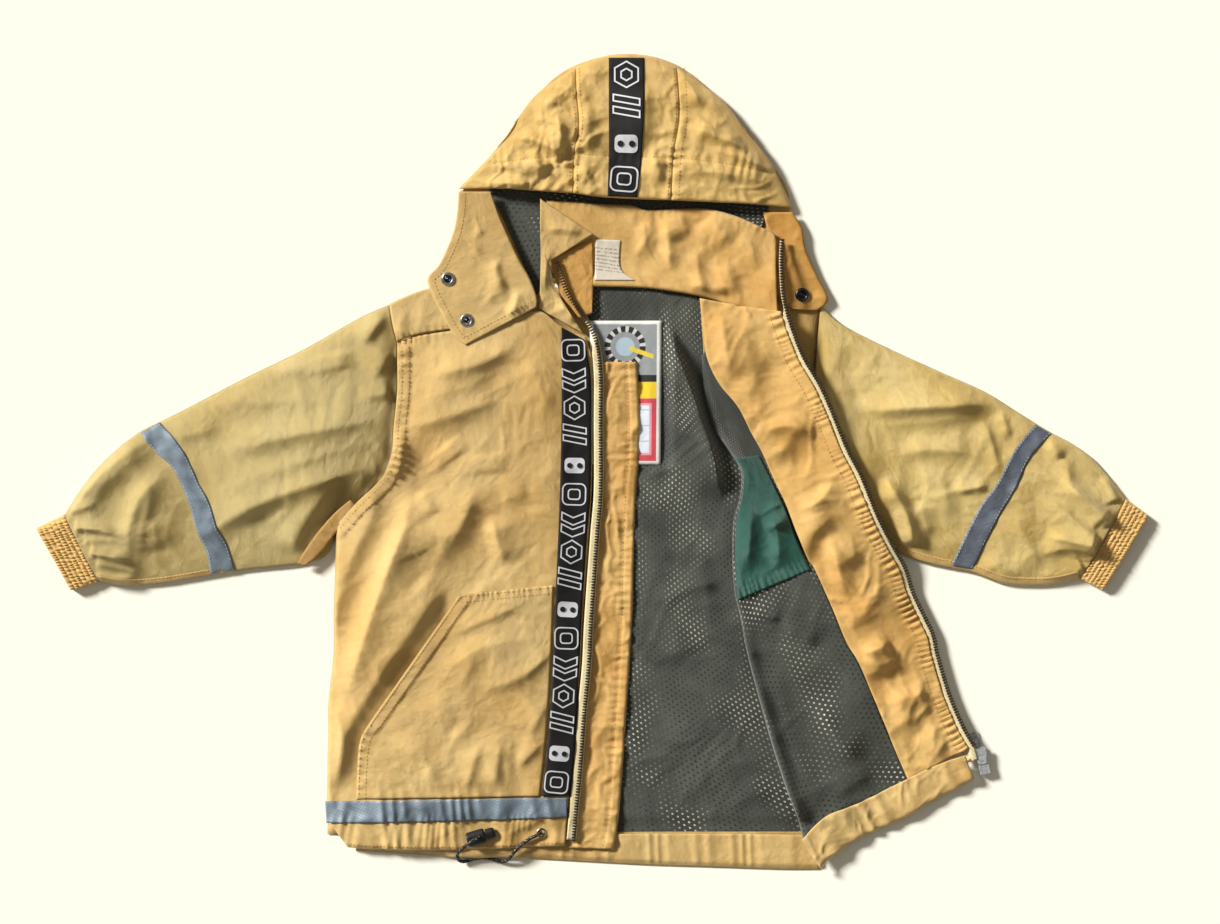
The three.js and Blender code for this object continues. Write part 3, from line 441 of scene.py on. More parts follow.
def eyelet_mesh():
    """Warp-knit lining: rows of small holes set in a triangle pattern, some pale with painted light, the rest
    near-black with painted shade.
    """
    finish = Finish("eyelet_mesh", roughness=0.75, sheen_weight=0.35, sheen_roughness=0.5)
    plan = finish.on_cloth(0.5)
    across, along = finish.apart(plan)
    pitch = 0.0052
    row = finish.times(along, 1 / (0.8 * pitch))
    shift = finish.times(finish.sum("MODULO", finish.sum("FLOOR", row), 2.0), 0.5)
    column = finish.plus(finish.times(across, 1 / pitch), shift)
    wide = finish.sum("SUBTRACT", finish.sum("FRACT", column), 0.5)
    tall = finish.sum("SUBTRACT", finish.sum("FRACT", row), 0.5)
    away = finish.sum("SQRT", finish.plus(finish.times(wide, wide), finish.times(tall, tall)))
    hole = finish.between(away, 0.24, 0.15)
    ribs = finish.sum("SINE", finish.times(across, 2 * math.pi / 0.0009))
    drift = finish.noise(plan, 14.0, 3.0)
    cloth = finish.mixed(finish.between(drift, 0.35, 0.7), paint(74, 80, 72), paint(44, 49, 43))
    cloth = finish.mixed(finish.times(finish.between(ribs, -1, 1), 0.25), cloth, paint(36, 40, 36))
    # the holes are painted: pale where painted light falls on the cloth beneath, near-black for painted shade, mixed by
    # a noise
    lit = finish.between(finish.noise(plan, 13.0, 3.0, 0.3), 0.43, 0.68)
    painted_light_and_shade_in_holes = finish.mixed(lit, paint(12, 12, 10), paint(226, 224, 204))
    finish.colour(finish.mixed(hole, cloth, painted_light_and_shade_in_holes))
    finish.raised((finish.noise(plan, 60.0, 3.0), 0.0012), (ribs, 0.00012), (finish.times(hole, -1.0), 0.0005))
    return finish.material


def reflective(name, light, deep):
    """Glass-bead tape: a grey base under a fine net of beads."""
    finish = Finish(name, roughness=0.48, metallic=0.2, coat_weight=0.1, coat_roughness=0.4)
    plan = finish.on_cloth(0.6)
    net = finish.weave(plan, 0.0017)
    patches = finish.noise(plan, 40.0, 4.0, 0.5)
    base = finish.mixed(finish.between(patches, 0.35, 0.7), light, deep)
    finish.colour(finish.mixed(finish.times(finish.between(net, 0.2, 0.9), 0.3), base, paint(190, 205, 220)))
    finish.raised((patches, 0.0012), (net, 0.00008))
    return finish.material


def ribbed(name, colour, dark, pitch, **sockets):
    """Narrow woven tape: cross ribs and a slightly darker grain."""
    finish = Finish(name, **sockets)
    plan = finish.on_cloth()
    across, along = finish.apart(plan)
    ribs = finish.sum("SINE", finish.times(along, 2 * math.pi / pitch))
    grain = finish.noise(plan, 500.0, 3.0)
    share = finish.plus(finish.times(finish.between(ribs, -1, 1), 0.35), finish.times(grain, 0.4))
    finish.colour(finish.mixed(share, colour, dark))
    finish.raised((ribs, 0.00012), (grain, 0.0001))
    return finish.material


def metal(name, light, dark, roughness, metallic=1.0):
    finish = Finish(name, metallic=metallic, roughness=roughness)
    place = finish.on_object()
    worn = finish.noise(place, 420.0, 4.0)
    finish.colour(finish.mixed(finish.between(worn, 0.35, 0.75), light, dark))
    finish.roughness(finish.sum("MULTIPLY_ADD", worn, 0.25, roughness - 0.1))
    finish.raised((finish.noise(place, 1500.0, 2.0), 0.00003))
    return finish.material


def plastic(name, light, dark, roughness=0.42):
    finish = Finish(name, roughness=roughness)
    place = finish.on_object()
    grain = finish.noise(place, 900.0, 3.0)
    finish.colour(finish.mixed(finish.between(grain, 0.4, 0.75), dark, light))
    finish.raised((grain, 0.00008))
    return finish.material


MESH = eyelet_mesh()
TAPE_BLUE = reflective("reflective_blue_grey", paint(128, 144, 158), paint(84, 98, 112))
TAPE_GREY = reflective("reflective_grey", paint(98, 106, 122), paint(64, 70, 82))
RIBBON_BLACK = ribbed("ribbon_black", paint(17, 17, 20), paint(5, 5, 6), 0.0008, roughness=0.6)
RIBBON_WHITE = ribbed("ribbon_white", paint(226, 230, 236), paint(170, 176, 186), 0.0008, roughness=0.6)
ZIP_TAPE_CREAM = ribbed("zip_tape_cream", paint(244, 232, 192), paint(206, 186, 132), 0.0011, roughness=0.75)
TEETH_DARK = plastic("teeth_dark", paint(74, 66, 56), paint(34, 30, 26), 0.35)
BLACK_PLASTIC = plastic("black_plastic", paint(34, 34, 36), paint(14, 14, 16), 0.4)
STEEL = metal("snap_steel", paint(198, 203, 210), paint(112, 118, 128), 0.28)
GUNMETAL = metal("snap_gunmetal", paint(92, 92, 98), paint(30, 30, 34), 0.3)
SILVER = metal("slider_silver", paint(214, 218, 224), paint(146, 154, 164), 0.42, 0.55)
THREAD_YELLOW = ribbed("thread_yellow", paint(198, 146, 66), paint(140, 92, 28), 0.0004, roughness=0.7)
THREAD_PALE = ribbed("thread_pale", paint(206, 210, 200), paint(150, 158, 150), 0.0004, roughness=0.7)


def braided_cord():
    finish = Finish("braided_cord", roughness=0.7)
    place = finish.on_object()
    strands = finish.node("ShaderNodeTexVoronoi", Vector=place, Scale=620.0).outputs["Distance"]
    speck = finish.between(finish.noise(place, 700.0, 1.0), 0.62, 0.68)
    finish.colour(finish.mixed(finish.times(speck, 0.8), paint(22, 22, 22), paint(196, 190, 178)))
    finish.raised((strands, 0.0006))
    return finish.material


CORD_BLACK = braided_cord()

# ------------------------------------------------------------------ camera, light and floor
VIEW_CENTRE = (15.1, -0.3)
VIEW_WIDTH = 1.037
CAMERA_HEIGHT = 2.6
SENSOR = 36.0
ROOM_LIGHT = 0.22
WINDOW_LIGHT = 5.6
WINDOW_ANGLE = 12  # degrees across
FLOOR_SIZE = 30.0
FLOOR_DROP = 0.0004


def camera_and_light():
    eye = bpy.data.cameras.new("camera")
    eye.sensor_width = SENSOR
    eye.lens = SENSOR * CAMERA_HEIGHT / VIEW_WIDTH
    camera = bpy.data.objects.new("camera", eye)
    camera.location = (VIEW_CENTRE[0] * MM, VIEW_CENTRE[1] * MM, CAMERA_HEIGHT)
    bpy.context.scene.collection.objects.link(camera)
    bpy.context.scene.camera = camera

    world = bpy.data.worlds.new("studio")
    world.use_nodes = True
    world.node_tree.nodes["Background"].inputs["Color"].default_value = paint(255, 247, 230)
    world.node_tree.nodes["Background"].inputs["Strength"].default_value = ROOM_LIGHT
    bpy.context.scene.world = world
    bpy.context.scene.view_settings.view_transform = "Standard"

    lamp = bpy.data.lights.new("window", "SUN")
    lamp.angle = math.radians(WINDOW_ANGLE)
    lamp.energy = WINDOW_LIGHT
    lamp.color = (1.0, 0.965, 0.91)
    window = bpy.data.objects.new("window", lamp)
    window.location = WINDOW
    window.rotation_euler = (-window.location).to_track_quat("-Z", "Y").to_euler()
    bpy.context.scene.collection.objects.link(window)

    bm = bmesh.new()
    bmesh.ops.create_grid(bm, x_segments=1, y_segments=1, size=FLOOR_SIZE)
    floor = made_object("floor", bm)
    finish = Finish("floor_cream", roughness=0.9)
    finish.colour(paint(255, 254, 244))
    floor.data.materials.append(finish.material)
    floor.location.z = -FLOOR_DROP


# ------------------------------------------------------------------ pieces


def placed(x, y, z):
    """A plan point and its height, as a place in the frame."""
    return (x + MIDDLE[0]) * MM, (y + MIDDLE[1]) * MM, z * MM


def made_object(name, bm):
    mesh = bpy.data.meshes.new(name)
    bm.to_mesh(mesh)
    bm.free()
    piece = bpy.data.objects.new(name, mesh)
    bpy.context.scene.collection.objects.link(piece)
    return piece


def finished(piece, material, replaces=(), body="jacket"):
    piece.data.materials.append(material)
    if piece.type == "MESH":
        piece.data.polygons.foreach_set("use_smooth", [True] * len(piece.data.polygons))
    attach(piece, body)
    if replaces:
        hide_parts(*replaces)


def end_lines(edges):
    """A four-sided piece's top and bottom, straight across where they aren't listed."""
    left, right = edges["left"], edges["right"]
    top = edges.get("top", np.array([left[0], right[0]]))
    bottom = edges.get("bottom", np.array([left[-1], right[-1]]))
    return top, bottom


def coons(edges, u, v):
    """The plan point at shares u, left to right, and v, top to bottom, of a four-sided piece."""
    left, right = edges["left"], edges["right"]
    top, bottom = end_lines(edges)
    u, v = u[:, None], v[:, None]
    sides = at(left, v[:, 0]) * (1 - u) + at(right, v[:, 0]) * u
    ends = at(top, u[:, 0]) * (1 - v) + at(bottom, u[:, 0]) * v
    corners = (top[0] * (1 - u) + top[-1] * u) * (1 - v) + (bottom[0] * (1 - u) + bottom[-1] * u) * v
    return sides + ends - corners


def cut_size(edges, fullness):
    """The width and length of a piece's pattern, and its area."""
    left, right = edges["left"], edges["right"]
    top, bottom = end_lines(edges)
    width = max(NARROWEST, lengths(top)[-1], lengths(bottom)[-1]) * fullness
    length = max(lengths(left)[-1], lengths(right)[-1])
    loop = join(top, right, bottom[::-1], left[::-1])
    x, y = loop.T
    area = abs(np.dot(x, np.roll(y, 1)) - np.dot(y, np.roll(x, 1))) / 2 * fullness
    return width * MM, length * MM, area * MM * MM


def lay_flat(piece, x, y, z, plan, seen):
    """Moves a grid's points to their places, and keeps its flat pattern as a UV map in metres."""
    mesh = piece.data
    places = np.stack([x + MIDDLE[0], y + MIDDLE[1], z], axis=-1) * MM
    mesh.vertices.foreach_set("co", places.ravel())
    pattern = mesh.uv_layers.new(name="cloth")
    corner = np.zeros(len(mesh.loops), int)
    mesh.loops.foreach_get("vertex_index", corner)
    pattern.data.foreach_set("uv", (plan[corner] * MM).ravel())
    mesh.update()
    if faces_down(mesh, seen):
        mesh.flip_normals()


def faces_down(mesh, seen):
    """Whether the faces between the seen points look at the floor."""
    normals = np.zeros(len(mesh.polygons) * 3)
    mesh.polygons.foreach_get("normal", normals)
    corners = np.zeros(len(mesh.polygons) * 4, int)
    mesh.polygons.foreach_get("vertices", corners)
    upper = seen[corners.reshape(-1, 4)].all(axis=1)
    return normals.reshape(-1, 3)[upper, 2].sum() < 0


def grid_shares(piece):
    """The shares u and v of a flat grid's points, v from its top."""
    places = np.zeros(len(piece.data.vertices) * 3)
    piece.data.vertices.foreach_get("co", places)
    places = places.reshape(-1, 3)
    return places[:, 0] + 0.5, 0.5 - places[:, 1]


def wall(piece, thickness):
    solid = piece.modifiers.new("wall", "SOLIDIFY")
    solid.thickness = thickness * MM
    solid.offset = -1.0


def cloth(name, edges, top_face, material, slot, replaces=(), rests_on=(), thick=0.8, spacing=2.0, fullness=1.0):
    """A cloth piece over a four-sided plan. top_face gives its upper face's height at plan points."""
    width, length, _ = cut_size(edges, 1.0)
    columns = max(2, round(width / MM / spacing))
    rows = max(2, round(length / MM / spacing))
    bm = bmesh.new()
    bmesh.ops.create_grid(bm, x_segments=columns, y_segments=rows, size=0.5)
    piece = made_object(name, bm)
    u, v = grid_shares(piece)
    x, y = coons(edges, u, v).T
    z = top_face(x, y)
    border = (np.minimum(u, v) < HAIR) | (np.maximum(u, v) > 1 - HAIR)
    z = np.maximum(z - np.where(border, 0.5 * thick, 0), thick)
    lay_flat(piece, x, y, z, np.stack([u * width / MM, (1 - v) * length / MM], axis=-1), u >= 0)
    wall(piece, thick)
    finished(piece, material, replaces)


def strip(line, near, far):
    """The edges of a strip that follows a line, between two distances beside it."""
    return {"left": beside(line, near), "right": beside(line, far)}


STITCH_PITCH = 3.2
STITCH_LENGTH = 2.3
STITCH_LIFT = 0.12
STITCH_WIDTH = 0.72
STITCH_HEIGHT = 0.56


def sewn(name, rows, material):
    """Stitches as small threads. Each row is its line, the face it is sewn to, its pitch and its stitch's length."""
    stitches = bmesh.new()
    for line, top_face, pitch, size in rows:
        run = lengths(line)[-1]
        count = max(1, int(run / pitch))
        spots = at(line, (np.arange(count) + 0.5) / count)
        ahead = at(line, np.clip((np.arange(count) + 0.6) / count, 0, 1))
        z = top_face(spots[:, 0], spots[:, 1])
        z_ahead = top_face(ahead[:, 0], ahead[:, 1])
        row = bmesh.new()
        for (px, py), (qx, qy), pz, qz in zip(spots, ahead, z, z_ahead):
            heading = Vector((qx - px, qy - py, qz - pz))
            turn = heading.to_track_quat("X", "Z").to_matrix().to_4x4()
            place = Matrix.Translation(placed(px, py, pz + STITCH_LIFT))
            shape = Matrix.Diagonal((size / 2 * MM, STITCH_WIDTH / 2 * MM, STITCH_HEIGHT / 2 * MM, 1))
            bmesh.ops.create_icosphere(row, subdivisions=1, radius=1.0, matrix=place @ turn @ shape)
        mesh = bpy.data.meshes.new("row")
        row.to_mesh(mesh)
        row.free()
        stitches.from_mesh(mesh)
        bpy.data.meshes.remove(mesh)
    finished(made_object(name, stitches), material)


# ------------------------------------------------------------------ the drawcord, its lock and the eyelet
CORD_ROUTE = [
    (-49.4, -314.6, 9.9), (-52, -316, 11), (-55.5, -317.6, 11.3), (-60, -320, 10.9), (-65, -323.3, 10.2),
    (-69, -326.8, 9.9), (-72.4, -330.6, 9.4), (-75.4, -334.5, 8.1), (-78.6, -338, 5.9), (-82.2, -340, 3.5),
    (-87, -339.6, 2), (-93, -337.8, 1.7), (-100, -337, 1.6), (-107, -337.8, 1.7), (-112.8, -339.6, 2),
    (-117.4, -340, 3.6), (-120.4, -337.8, 6.2), (-121.2, -334.2, 9.2), (-119.8, -330.6, 12.2),
    (-117, -327.6, 15.1), (-113.4, -324.8, 17.5), (-109.2, -321.8, 18.7), (-105.4, -319, 18.6), (-102.8, -317.1, 17.2),
]
CORD_DIAMETER = 3.0


def drawcord():
    line = smooth_line(CORD_ROUTE, 6)
    data = bpy.data.curves.new("drawcord", "CURVE")
    data.dimensions = "3D"
    data.bevel_depth = CORD_DIAMETER / 2 * MM
    data.bevel_resolution = 3
    spline = data.splines.new("POLY")
    spline.points.add(len(line) - 1)
    for point, (x, y, z) in zip(spline.points, line):
        point.co = (*placed(x, y, z), 1)
    cord = bpy.data.objects.new("braided_drawcord", data)
    bpy.context.scene.collection.objects.link(cord)
    finished(cord, CORD_BLACK, ["drawcord"])


# a ring snap's profiles: radius and height, in metres
SNAP_RIM = [(0.0031, -0.0006), (0.0033, 0.0), (0.0040, 0.0004), (0.0050, 0.0003), (0.0058, -0.0004), (0.0059, -0.0016)]
SNAP_WELL = [
    (0.0, -0.0004), (0.0010, -0.0004), (0.0013, -0.0009), (0.0017, -0.0009), (0.0019, -0.0002), (0.0023, -0.0002),
    (0.0026, -0.0011), (0.0033, -0.0011),
]
SNAP_LIFT = 0.0004


def snap(node, rim_metal, well_metal):
    """A ring snap: a rolled rim, a sunk well and a raised socket ring in it."""
    low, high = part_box(node)
    centre = [(a + b) / 2 for a, b in zip(low, high)]
    top = high[2] + SNAP_LIFT
    for name, profile, material in (("rim", SNAP_RIM, rim_metal), ("well", SNAP_WELL, well_metal)):
        bm = bmesh.new()
        spots = [bm.verts.new((centre[0] + r, centre[1], top + z)) for r, z in profile]
        for first, second in zip(spots, spots[1:]):
            bm.edges.new((first, second))
        bmesh.ops.spin(
            bm, geom=bm.verts[:] + bm.edges[:], cent=centre, axis=(0, 0, 1), angle=2 * math.pi, steps=36, use_merge=True
        )
        bmesh.ops.remove_doubles(bm, verts=bm.verts, dist=0.00001)
        bmesh.ops.recalc_face_normals(bm, faces=bm.faces)
        if sum(face.normal.z for face in bm.faces) < 0:
            bmesh.ops.reverse_faces(bm, faces=bm.faces)
        finished(made_object(f"{node}_{name}", bm), material, [node] if name == "rim" else [])


def repaint(node, material):
    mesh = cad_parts[node].data
    mesh.materials.clear()
    mesh.materials.append(material)


# ------------------------------------------------------------------ back: shell, hem casing and lining
BACK_LINING_FOLDS = [
    ([(104, -40), (96, 0), (82, 44), (62, 96), (44, 134)], 7.6, 12, 0.6, 1.4, (0.2, 0.15)),
    ([(66, 40), (58, 76), (40, 112)], 2.4, 9, 0.3),
    ([(96, -150), (88, -100), (84, -56)], 2.2, 13, 0.3),
    ([(34, -126), (66, -112), (112, -96)], 1.8, 9, 0.3),
    ([(30, -176), (60, -164), (112, -140)], 1.5, 10, 0.3),
    ([(26, -266), (66, -240), (116, -200)], 2.2, 14, 0.3),
    ([(66, -296), (94, -262), (126, -222)], 2.0, 11, 0.3),
    ([(95, -268), (120, -256), (148, -252)], 1.5, 9, 0.3),
    ([(100, -300), (128, -284), (154, -280)], 1.4, 9, 0.3),
    ([(36, -20), (56, -6), (80, -2)], 1.5, 9, 0.3),
]
MESH_EDGE = beside(DOOR_FOLD, -20)


def back_lining_face(x, y):
    off, _ = from_line(x, y, DOOR_FOLD)
    on_label = rising(-10, 0, y) * rising(64, 54, x)
    free = rising(3, -9, off) * rising(14, 30, x - 0.04 * y) * rising(-314, -298, y) * rising(150, 132, y)
    shape = folds(x, y, BACK_LINING_FOLDS) + 1.5 * crumple(x, y, 38, 61) + 0.4 * ripple(x, y, 70, 66)
    return 3.3 + settled(shape, 0) * free * (1 - 0.85 * on_label) - 1.6 * rising(-300, -310, y)


def back_pieces():
    right_side = smooth_line([(-224, -55), (-226, -126), (-227, -165), (-231, -233), (-232, -317)])
    left_side = smooth_line([(232, -62), (229, -130), (216, -200), (201, -265), (188, -321)])
    neck = smooth_line(
        [(-179, 133), (-144, 146), (-100, 149), (-50, 148), (20, 146), (90, 146), (150, 143), (187, 132)]
    )
    hem = smooth_line([(-232, -317), (-116, -320), (15, -320.5), (113, -321.5), (188, -321)])
    cloth(
        "back_shell",
        {"left": join(RIGHT_ARMHOLE, right_side), "right": join(LEFT_ARMHOLE, left_side), "top": neck, "bottom": hem},
        bare_floor, SHELL_YELLOW, "shell_cloth", ["back_panel"], spacing=6.0,
    )

    casing_top = smooth_line([(-206, -318.8), (-116, -320.6), (-30, -319), (15, -316.5), (113, -316.5), (186, -317.5)])
    casing_foot = smooth_line(
        [(-208, -331), (-116, -337), (-77, -337), (34, -343), (93, -345), (154, -347), (186, -347)]
    )

    def casing_face(x, y):
        lift = 3.5 * rising(-142, -124, x) * rising(-56, -72, x)
        off, _ = from_line(x, y, casing_foot)
        across = np.abs(off)
        pleat = np.sin(2 * math.pi * (x / 15 + 0.8 * ripple(x, 0 * x, 60, 31) + 0.05 * (y + 330) / 10))
        body = (1.8 + 0.9 * (0.5 + 0.5 * pleat) ** 1.6) * rising(0, 5, across)
        free = 1 - 0.8 * rising(-142, -124, x) * rising(-56, -72, x)
        return SHELL + lift + body * free + rolled(x, y, casing_foot, 5, 1.2)

    cloth(
        "back_hem_casing",
        {
            "left": np.array([casing_top[0], casing_foot[0]]), "right": np.array([casing_top[-1], casing_foot[-1]]),
            "top": casing_top, "bottom": casing_foot,
        },
        casing_face, SHELL_YELLOW, "shell_cloth", ["back_hem_band"], ["back_shell"], spacing=1.3, fullness=1.15,
    )

    lining_left = smooth_line([(-14, 157), (-9, 110), (-7, 60), (-7, 0), (-11, -100), (-19, -215), (-24, -316)])
    cloth(
        "back_mesh_lining",
        {"left": lining_left, "right": MESH_EDGE},
        back_lining_face, MESH, "mesh_lining", ["back_lining"], ["back_shell"], spacing=2.2,
    )


# ------------------------------------------------------------------ labels


def label_finish():
    """A woven size label: grey crest field with a ringed badge, two bands, and a framed white field."""
    finish = Finish("size_label_print", roughness=0.7)
    across, along = finish.apart(finish.on_cloth())
    white, dark = paint(232, 234, 232), paint(30, 30, 34)

    def band(value, low, high, edge=0.0004):
        above_low = finish.between(value, low - edge, low + edge)
        return finish.times(above_low, finish.between(value, high + edge, high - edge))

    both = finish.times
    inner = both(band(across, 0.003, 0.057), band(along, 0.003, 0.119))
    colour = finish.mixed(inner, white, paint(150, 156, 160))
    dx = finish.sum("SUBTRACT", across, 0.030)
    dy = finish.sum("SUBTRACT", along, 0.100)
    radius = finish.sum("SQRT", finish.plus(both(dx, dx), both(dy, dy)))
    ring = band(radius, 0.0125, 0.0175)
    disc = finish.between(radius, 0.0085, 0.0075)
    colour = finish.mixed(ring, colour, dark)
    beads = finish.between(finish.sum("SINE", finish.times(finish.sum("ARCTAN2", dy, dx), 14.0)), 0.2, 0.4)
    colour = finish.mixed(both(both(ring, beads), 0.8), colour, white)
    colour = finish.mixed(disc, colour, paint(176, 198, 214))
    stripe = both(band(finish.plus(dy, finish.times(dx, 0.35)), -0.002, 0.002), band(dx, 0.004, 0.024))
    colour = finish.mixed(stripe, colour, paint(232, 208, 70))
    field = band(across, 0.003, 0.057)
    colour = finish.mixed(both(field, band(along, 0.070, 0.076)), colour, dark)
    colour = finish.mixed(both(field, band(along, 0.056, 0.070)), colour, paint(238, 205, 40))
    colour = finish.mixed(both(field, band(along, 0.003, 0.056)), colour, paint(206, 70, 84))
    colour = finish.mixed(both(band(across, 0.007, 0.053), band(along, 0.008, 0.052)), colour, paint(226, 160, 168))
    colour = finish.mixed(both(band(across, 0.009, 0.051), band(along, 0.010, 0.050)), colour, paint(220, 230, 244))
    bars = both(band(finish.sum("FRACT", finish.times(along, 75.0)), 0.44, 0.52, 0.03), band(across, 0.009, 0.051))
    colour = finish.mixed(both(both(bars, band(along, 0.010, 0.050)), 0.45), colour, paint(120, 130, 150))
    finish.colour(colour)
    finish.raised((finish.weave(finish.on_cloth(), 0.0011), 0.00008), (finish.noise(finish.on_cloth(), 55.0), 0.0012))
    return finish.material


def care_finish():
    """A care label: satin tape with rows of fine grey bars."""
    finish = Finish("care_label_print", roughness=0.45, sheen_weight=0.2)
    across, along = finish.apart(finish.on_cloth())
    rows = finish.between(finish.sum("SINE", finish.times(along, 2 * math.pi / 0.0034)), 0.2, 0.5)
    words = finish.between(finish.noise(finish.on_cloth(), 420.0, 1.0), 0.42, 0.5)
    inside = finish.times(finish.between(along, 0.008, 0.009), finish.between(along, 0.033, 0.032))
    ink = finish.times(finish.times(rows, words), inside)
    finish.colour(finish.mixed(finish.times(ink, 0.6), paint(214, 206, 190), paint(96, 90, 84)))
    finish.raised((finish.noise(finish.on_cloth(), 70.0), 0.001))
    return finish.material


def size_label_face(x, y):
    swell = 0.5 * ripple(x, y, 55, 12) + 0.7
    return np.maximum(5.0 + swell * rising(34, 42, x), back_lining_face(x, y) + 1.0)


def label_pieces():
    cloth(
        "size_label_cloth",
        {"left": smooth_line([(-9, 119), (-9, -3)]), "right": smooth_line([(52, 119), (51, -3)])},
        size_label_face, label_finish(), "label_cloth", ["size_label"], ["back_mesh_lining"], thick=0.4, spacing=2.5,
    )
    cloth(
        "care_label_cloth",
        {"left": smooth_line([(-4, 188), (-5, 153)]), "right": smooth_line([(17, 187), (17, 164), (29, 153)])},
        above(collar_face, 0.9), care_finish(), "label_cloth", ["care_label"], ["collar_inside"],
        thick=0.4, spacing=1.5,
    )


# ------------------------------------------------------------------ sleeves, their bands and elastic cuffs
RIGHT_SLEEVE_FOLDS = [
    ([(-306, 69), (-255, 72), (-204, 65)], -2.6, 8, 0.3),
    ([(-345, 44), (-289, 44), (-230, 47)], -2.8, 8, 0.3),
    ([(-370, 14), (-345, 18), (-317, 26)], -3.4, 7, 0.3),
    ([(-336, 5), (-264, 20), (-175, 39)], 4.2, 14, 0.45),
    ([(-328, -33), (-255, -8), (-170, 18)], -3.6, 9, 0.4),
    ([(-349, -71), (-289, -37), (-230, -16), (-183, -1)], 5.6, 13, 0.45),
    ([(-258, -84), (-249, -59), (-230, -33), (-213, -16)], -6.0, 8, 0.3, 1.45, (0.2, 0.4)),
    ([(-370, 5), (-404, -15), (-419, -33), (-425, -59)], -6.5, 13, -0.3, 1.45, (0.3, 0.25)),
    ([(-383, 22), (-425, -2), (-444, -32)], 4.6, 8, 0.3, 1.45, (0.3, 0.15)),
    ([(-362, -8), (-387, -29), (-398, -59), (-396, -84)], 5.6, 12, 0.35),
    ([(-446, -57), (-424, -58), (-398, -66)], 4.6, 3.8, 0.3, 1.4, (0.08, 0.5)),
    ([(-438, -70), (-414, -70), (-394, -74)], -3.2, 3.6, 0.2, 1.4, (0.08, 0.5)),
    ([(-433, -78), (-412, -81), (-388, -87)], 4.4, 3.8, 0.3, 1.4, (0.08, 0.5)),
    ([(-428, -89), (-408, -93), (-386, -98)], -3.4, 3.2, 0.2, 1.4, (0.08, 0.5)),
    ([(-428, -97), (-408, -101), (-388, -103)], 3.4, 3.0, 0.2, 1.4, (0.08, 0.5)),
    ([(-449, -46), (-436, -42), (-424, -36)], -3.4, 3.4, 0.2, 1.4, (0.08, 0.5)),
    ([(-374, -46), (-364, -74)], -3.2, 9, 0.3),
    ([(-181, 124), (-191, 108), (-202, 94)], -4.2, 4, 0.3, 1.45, (0.15, 0.4)),
    ([(-217, 96), (-213, 76)], -3.0, 8, 0.3),
    ([(-176, 92), (-184, 76), (-196, 66)], -3.6, 5, 0.3, 1.45, (0.15, 0.4)),
    ([(-176, 56), (-190, 52), (-206, 52)], -2.2, 4, 0.3, 1.45, (0.15, 0.4)),
]
LEFT_SLEEVE_FOLDS = [
    ([(182, 103), (199, 60), (208, 35), (229, 9), (238, -25), (246, -50)], -4.5, 13, 0.3, 1.45, (0.15, 0.15)),
    ([(212, 42), (276, 45), (345, 50)], 5.4, 10, 0.45),
    ([(229, 26), (280, 29), (331, 35)], -3.2, 6, 0.4),
    ([(246, 5), (280, 9), (323, 5)], 2.8, 9, 0.4),
    ([(255, -12), (280, -8), (297, -25), (301, -59)], -3.4, 8, 0.4),
    ([(238, -12), (257, -42), (265, -74)], 6.0, 8, -0.35, 1.45, (0.3, 0.12)),
    ([(274, -30), (284, -67)], -3.4, 7, -0.3),
    ([(327, 37), (335, 9), (340, -12)], -3.2, 3.2, 0.2),
    ([(341, 44), (350, 18)], -3.0, 3, 0.2),
    ([(297, -27), (331, -20)], 2.4, 4, 0.4),
    ([(376, -29), (399, -46), (424, -68)], -4.6, 3.6, 0.2, 1.4, (0.4, 0.08)),
    ([(388, -14), (408, -33), (432, -54)], 4.8, 5, 0.3, 1.4, (0.4, 0.08)),
    ([(399, 7), (401, -20), (418, -33), (432, -46)], -4.4, 5.5, 0.3, 1.4, (0.3, 0.08)),
    ([(430, -10), (440, -33)], -4.0, 3, 0.2, 1.4, (0.3, 0.08)),
    ([(369, -84), (391, -77), (420, -80)], -4.2, 4, 0.2, 1.4, (0.4, 0.08)),
    ([(374, -63), (418, -73)], 4.2, 5, 0.3, 1.4, (0.4, 0.08)),
    ([(365, -97), (391, -101), (412, -92)], -3.4, 4, 0.2, 1.4, (0.4, 0.08)),
    ([(352, -37), (365, -67), (382, -93)], -3.0, 7, -0.3),
    ([(378, 18), (391, 1)], 2.8, 5, 0.3),
    ([(327, -76), (357, -99)], -3.2, 6, 0.2),
]


def across_sleeve(x, y, top, foot):
    """The share of the way from a sleeve's upper fold to its lower one."""
    above, _ = from_line(x, y, top)
    below, _ = from_line(x, y, foot)
    return np.abs(above) / np.maximum(np.abs(above) + np.abs(below), 1e-6)


def tube_rounding(across):
    """1 over most of a flattened tube, falling steeply to 0 at its two folds."""
    return np.sqrt(np.clip(1 - np.abs(2 * across - 1) ** 18, 0, 1))


SLEEVE_MIDDLE = 2.0  # height of the folded edges of a flattened sleeve


def sleeve_face(top, foot, armhole, listed, seed):
    def face(x, y):
        across = across_sleeve(x, y, top, foot)
        round_off = tube_rounding(across)
        body = 4.6 + 5.2 * (1 - (2 * across - 1) ** 2)
        off, _ = from_line(x, y, armhole)
        tuck = np.exp(-((off / 7) ** 2))
        shape = folds(x, y, listed) + 1.3 * crumple(x, y, 44, seed) + 0.4 * ripple(x, y, 80, seed + 5)
        inside = rising(0, 0.1, across) * rising(1, 0.9, across)
        height = body - SLEEVE_MIDDLE + shape * (0.25 + 0.75 * inside)
        return SLEEVE_MIDDLE + np.maximum(height, 0.6) * (1 - 0.5 * tuck) * round_off

    return face


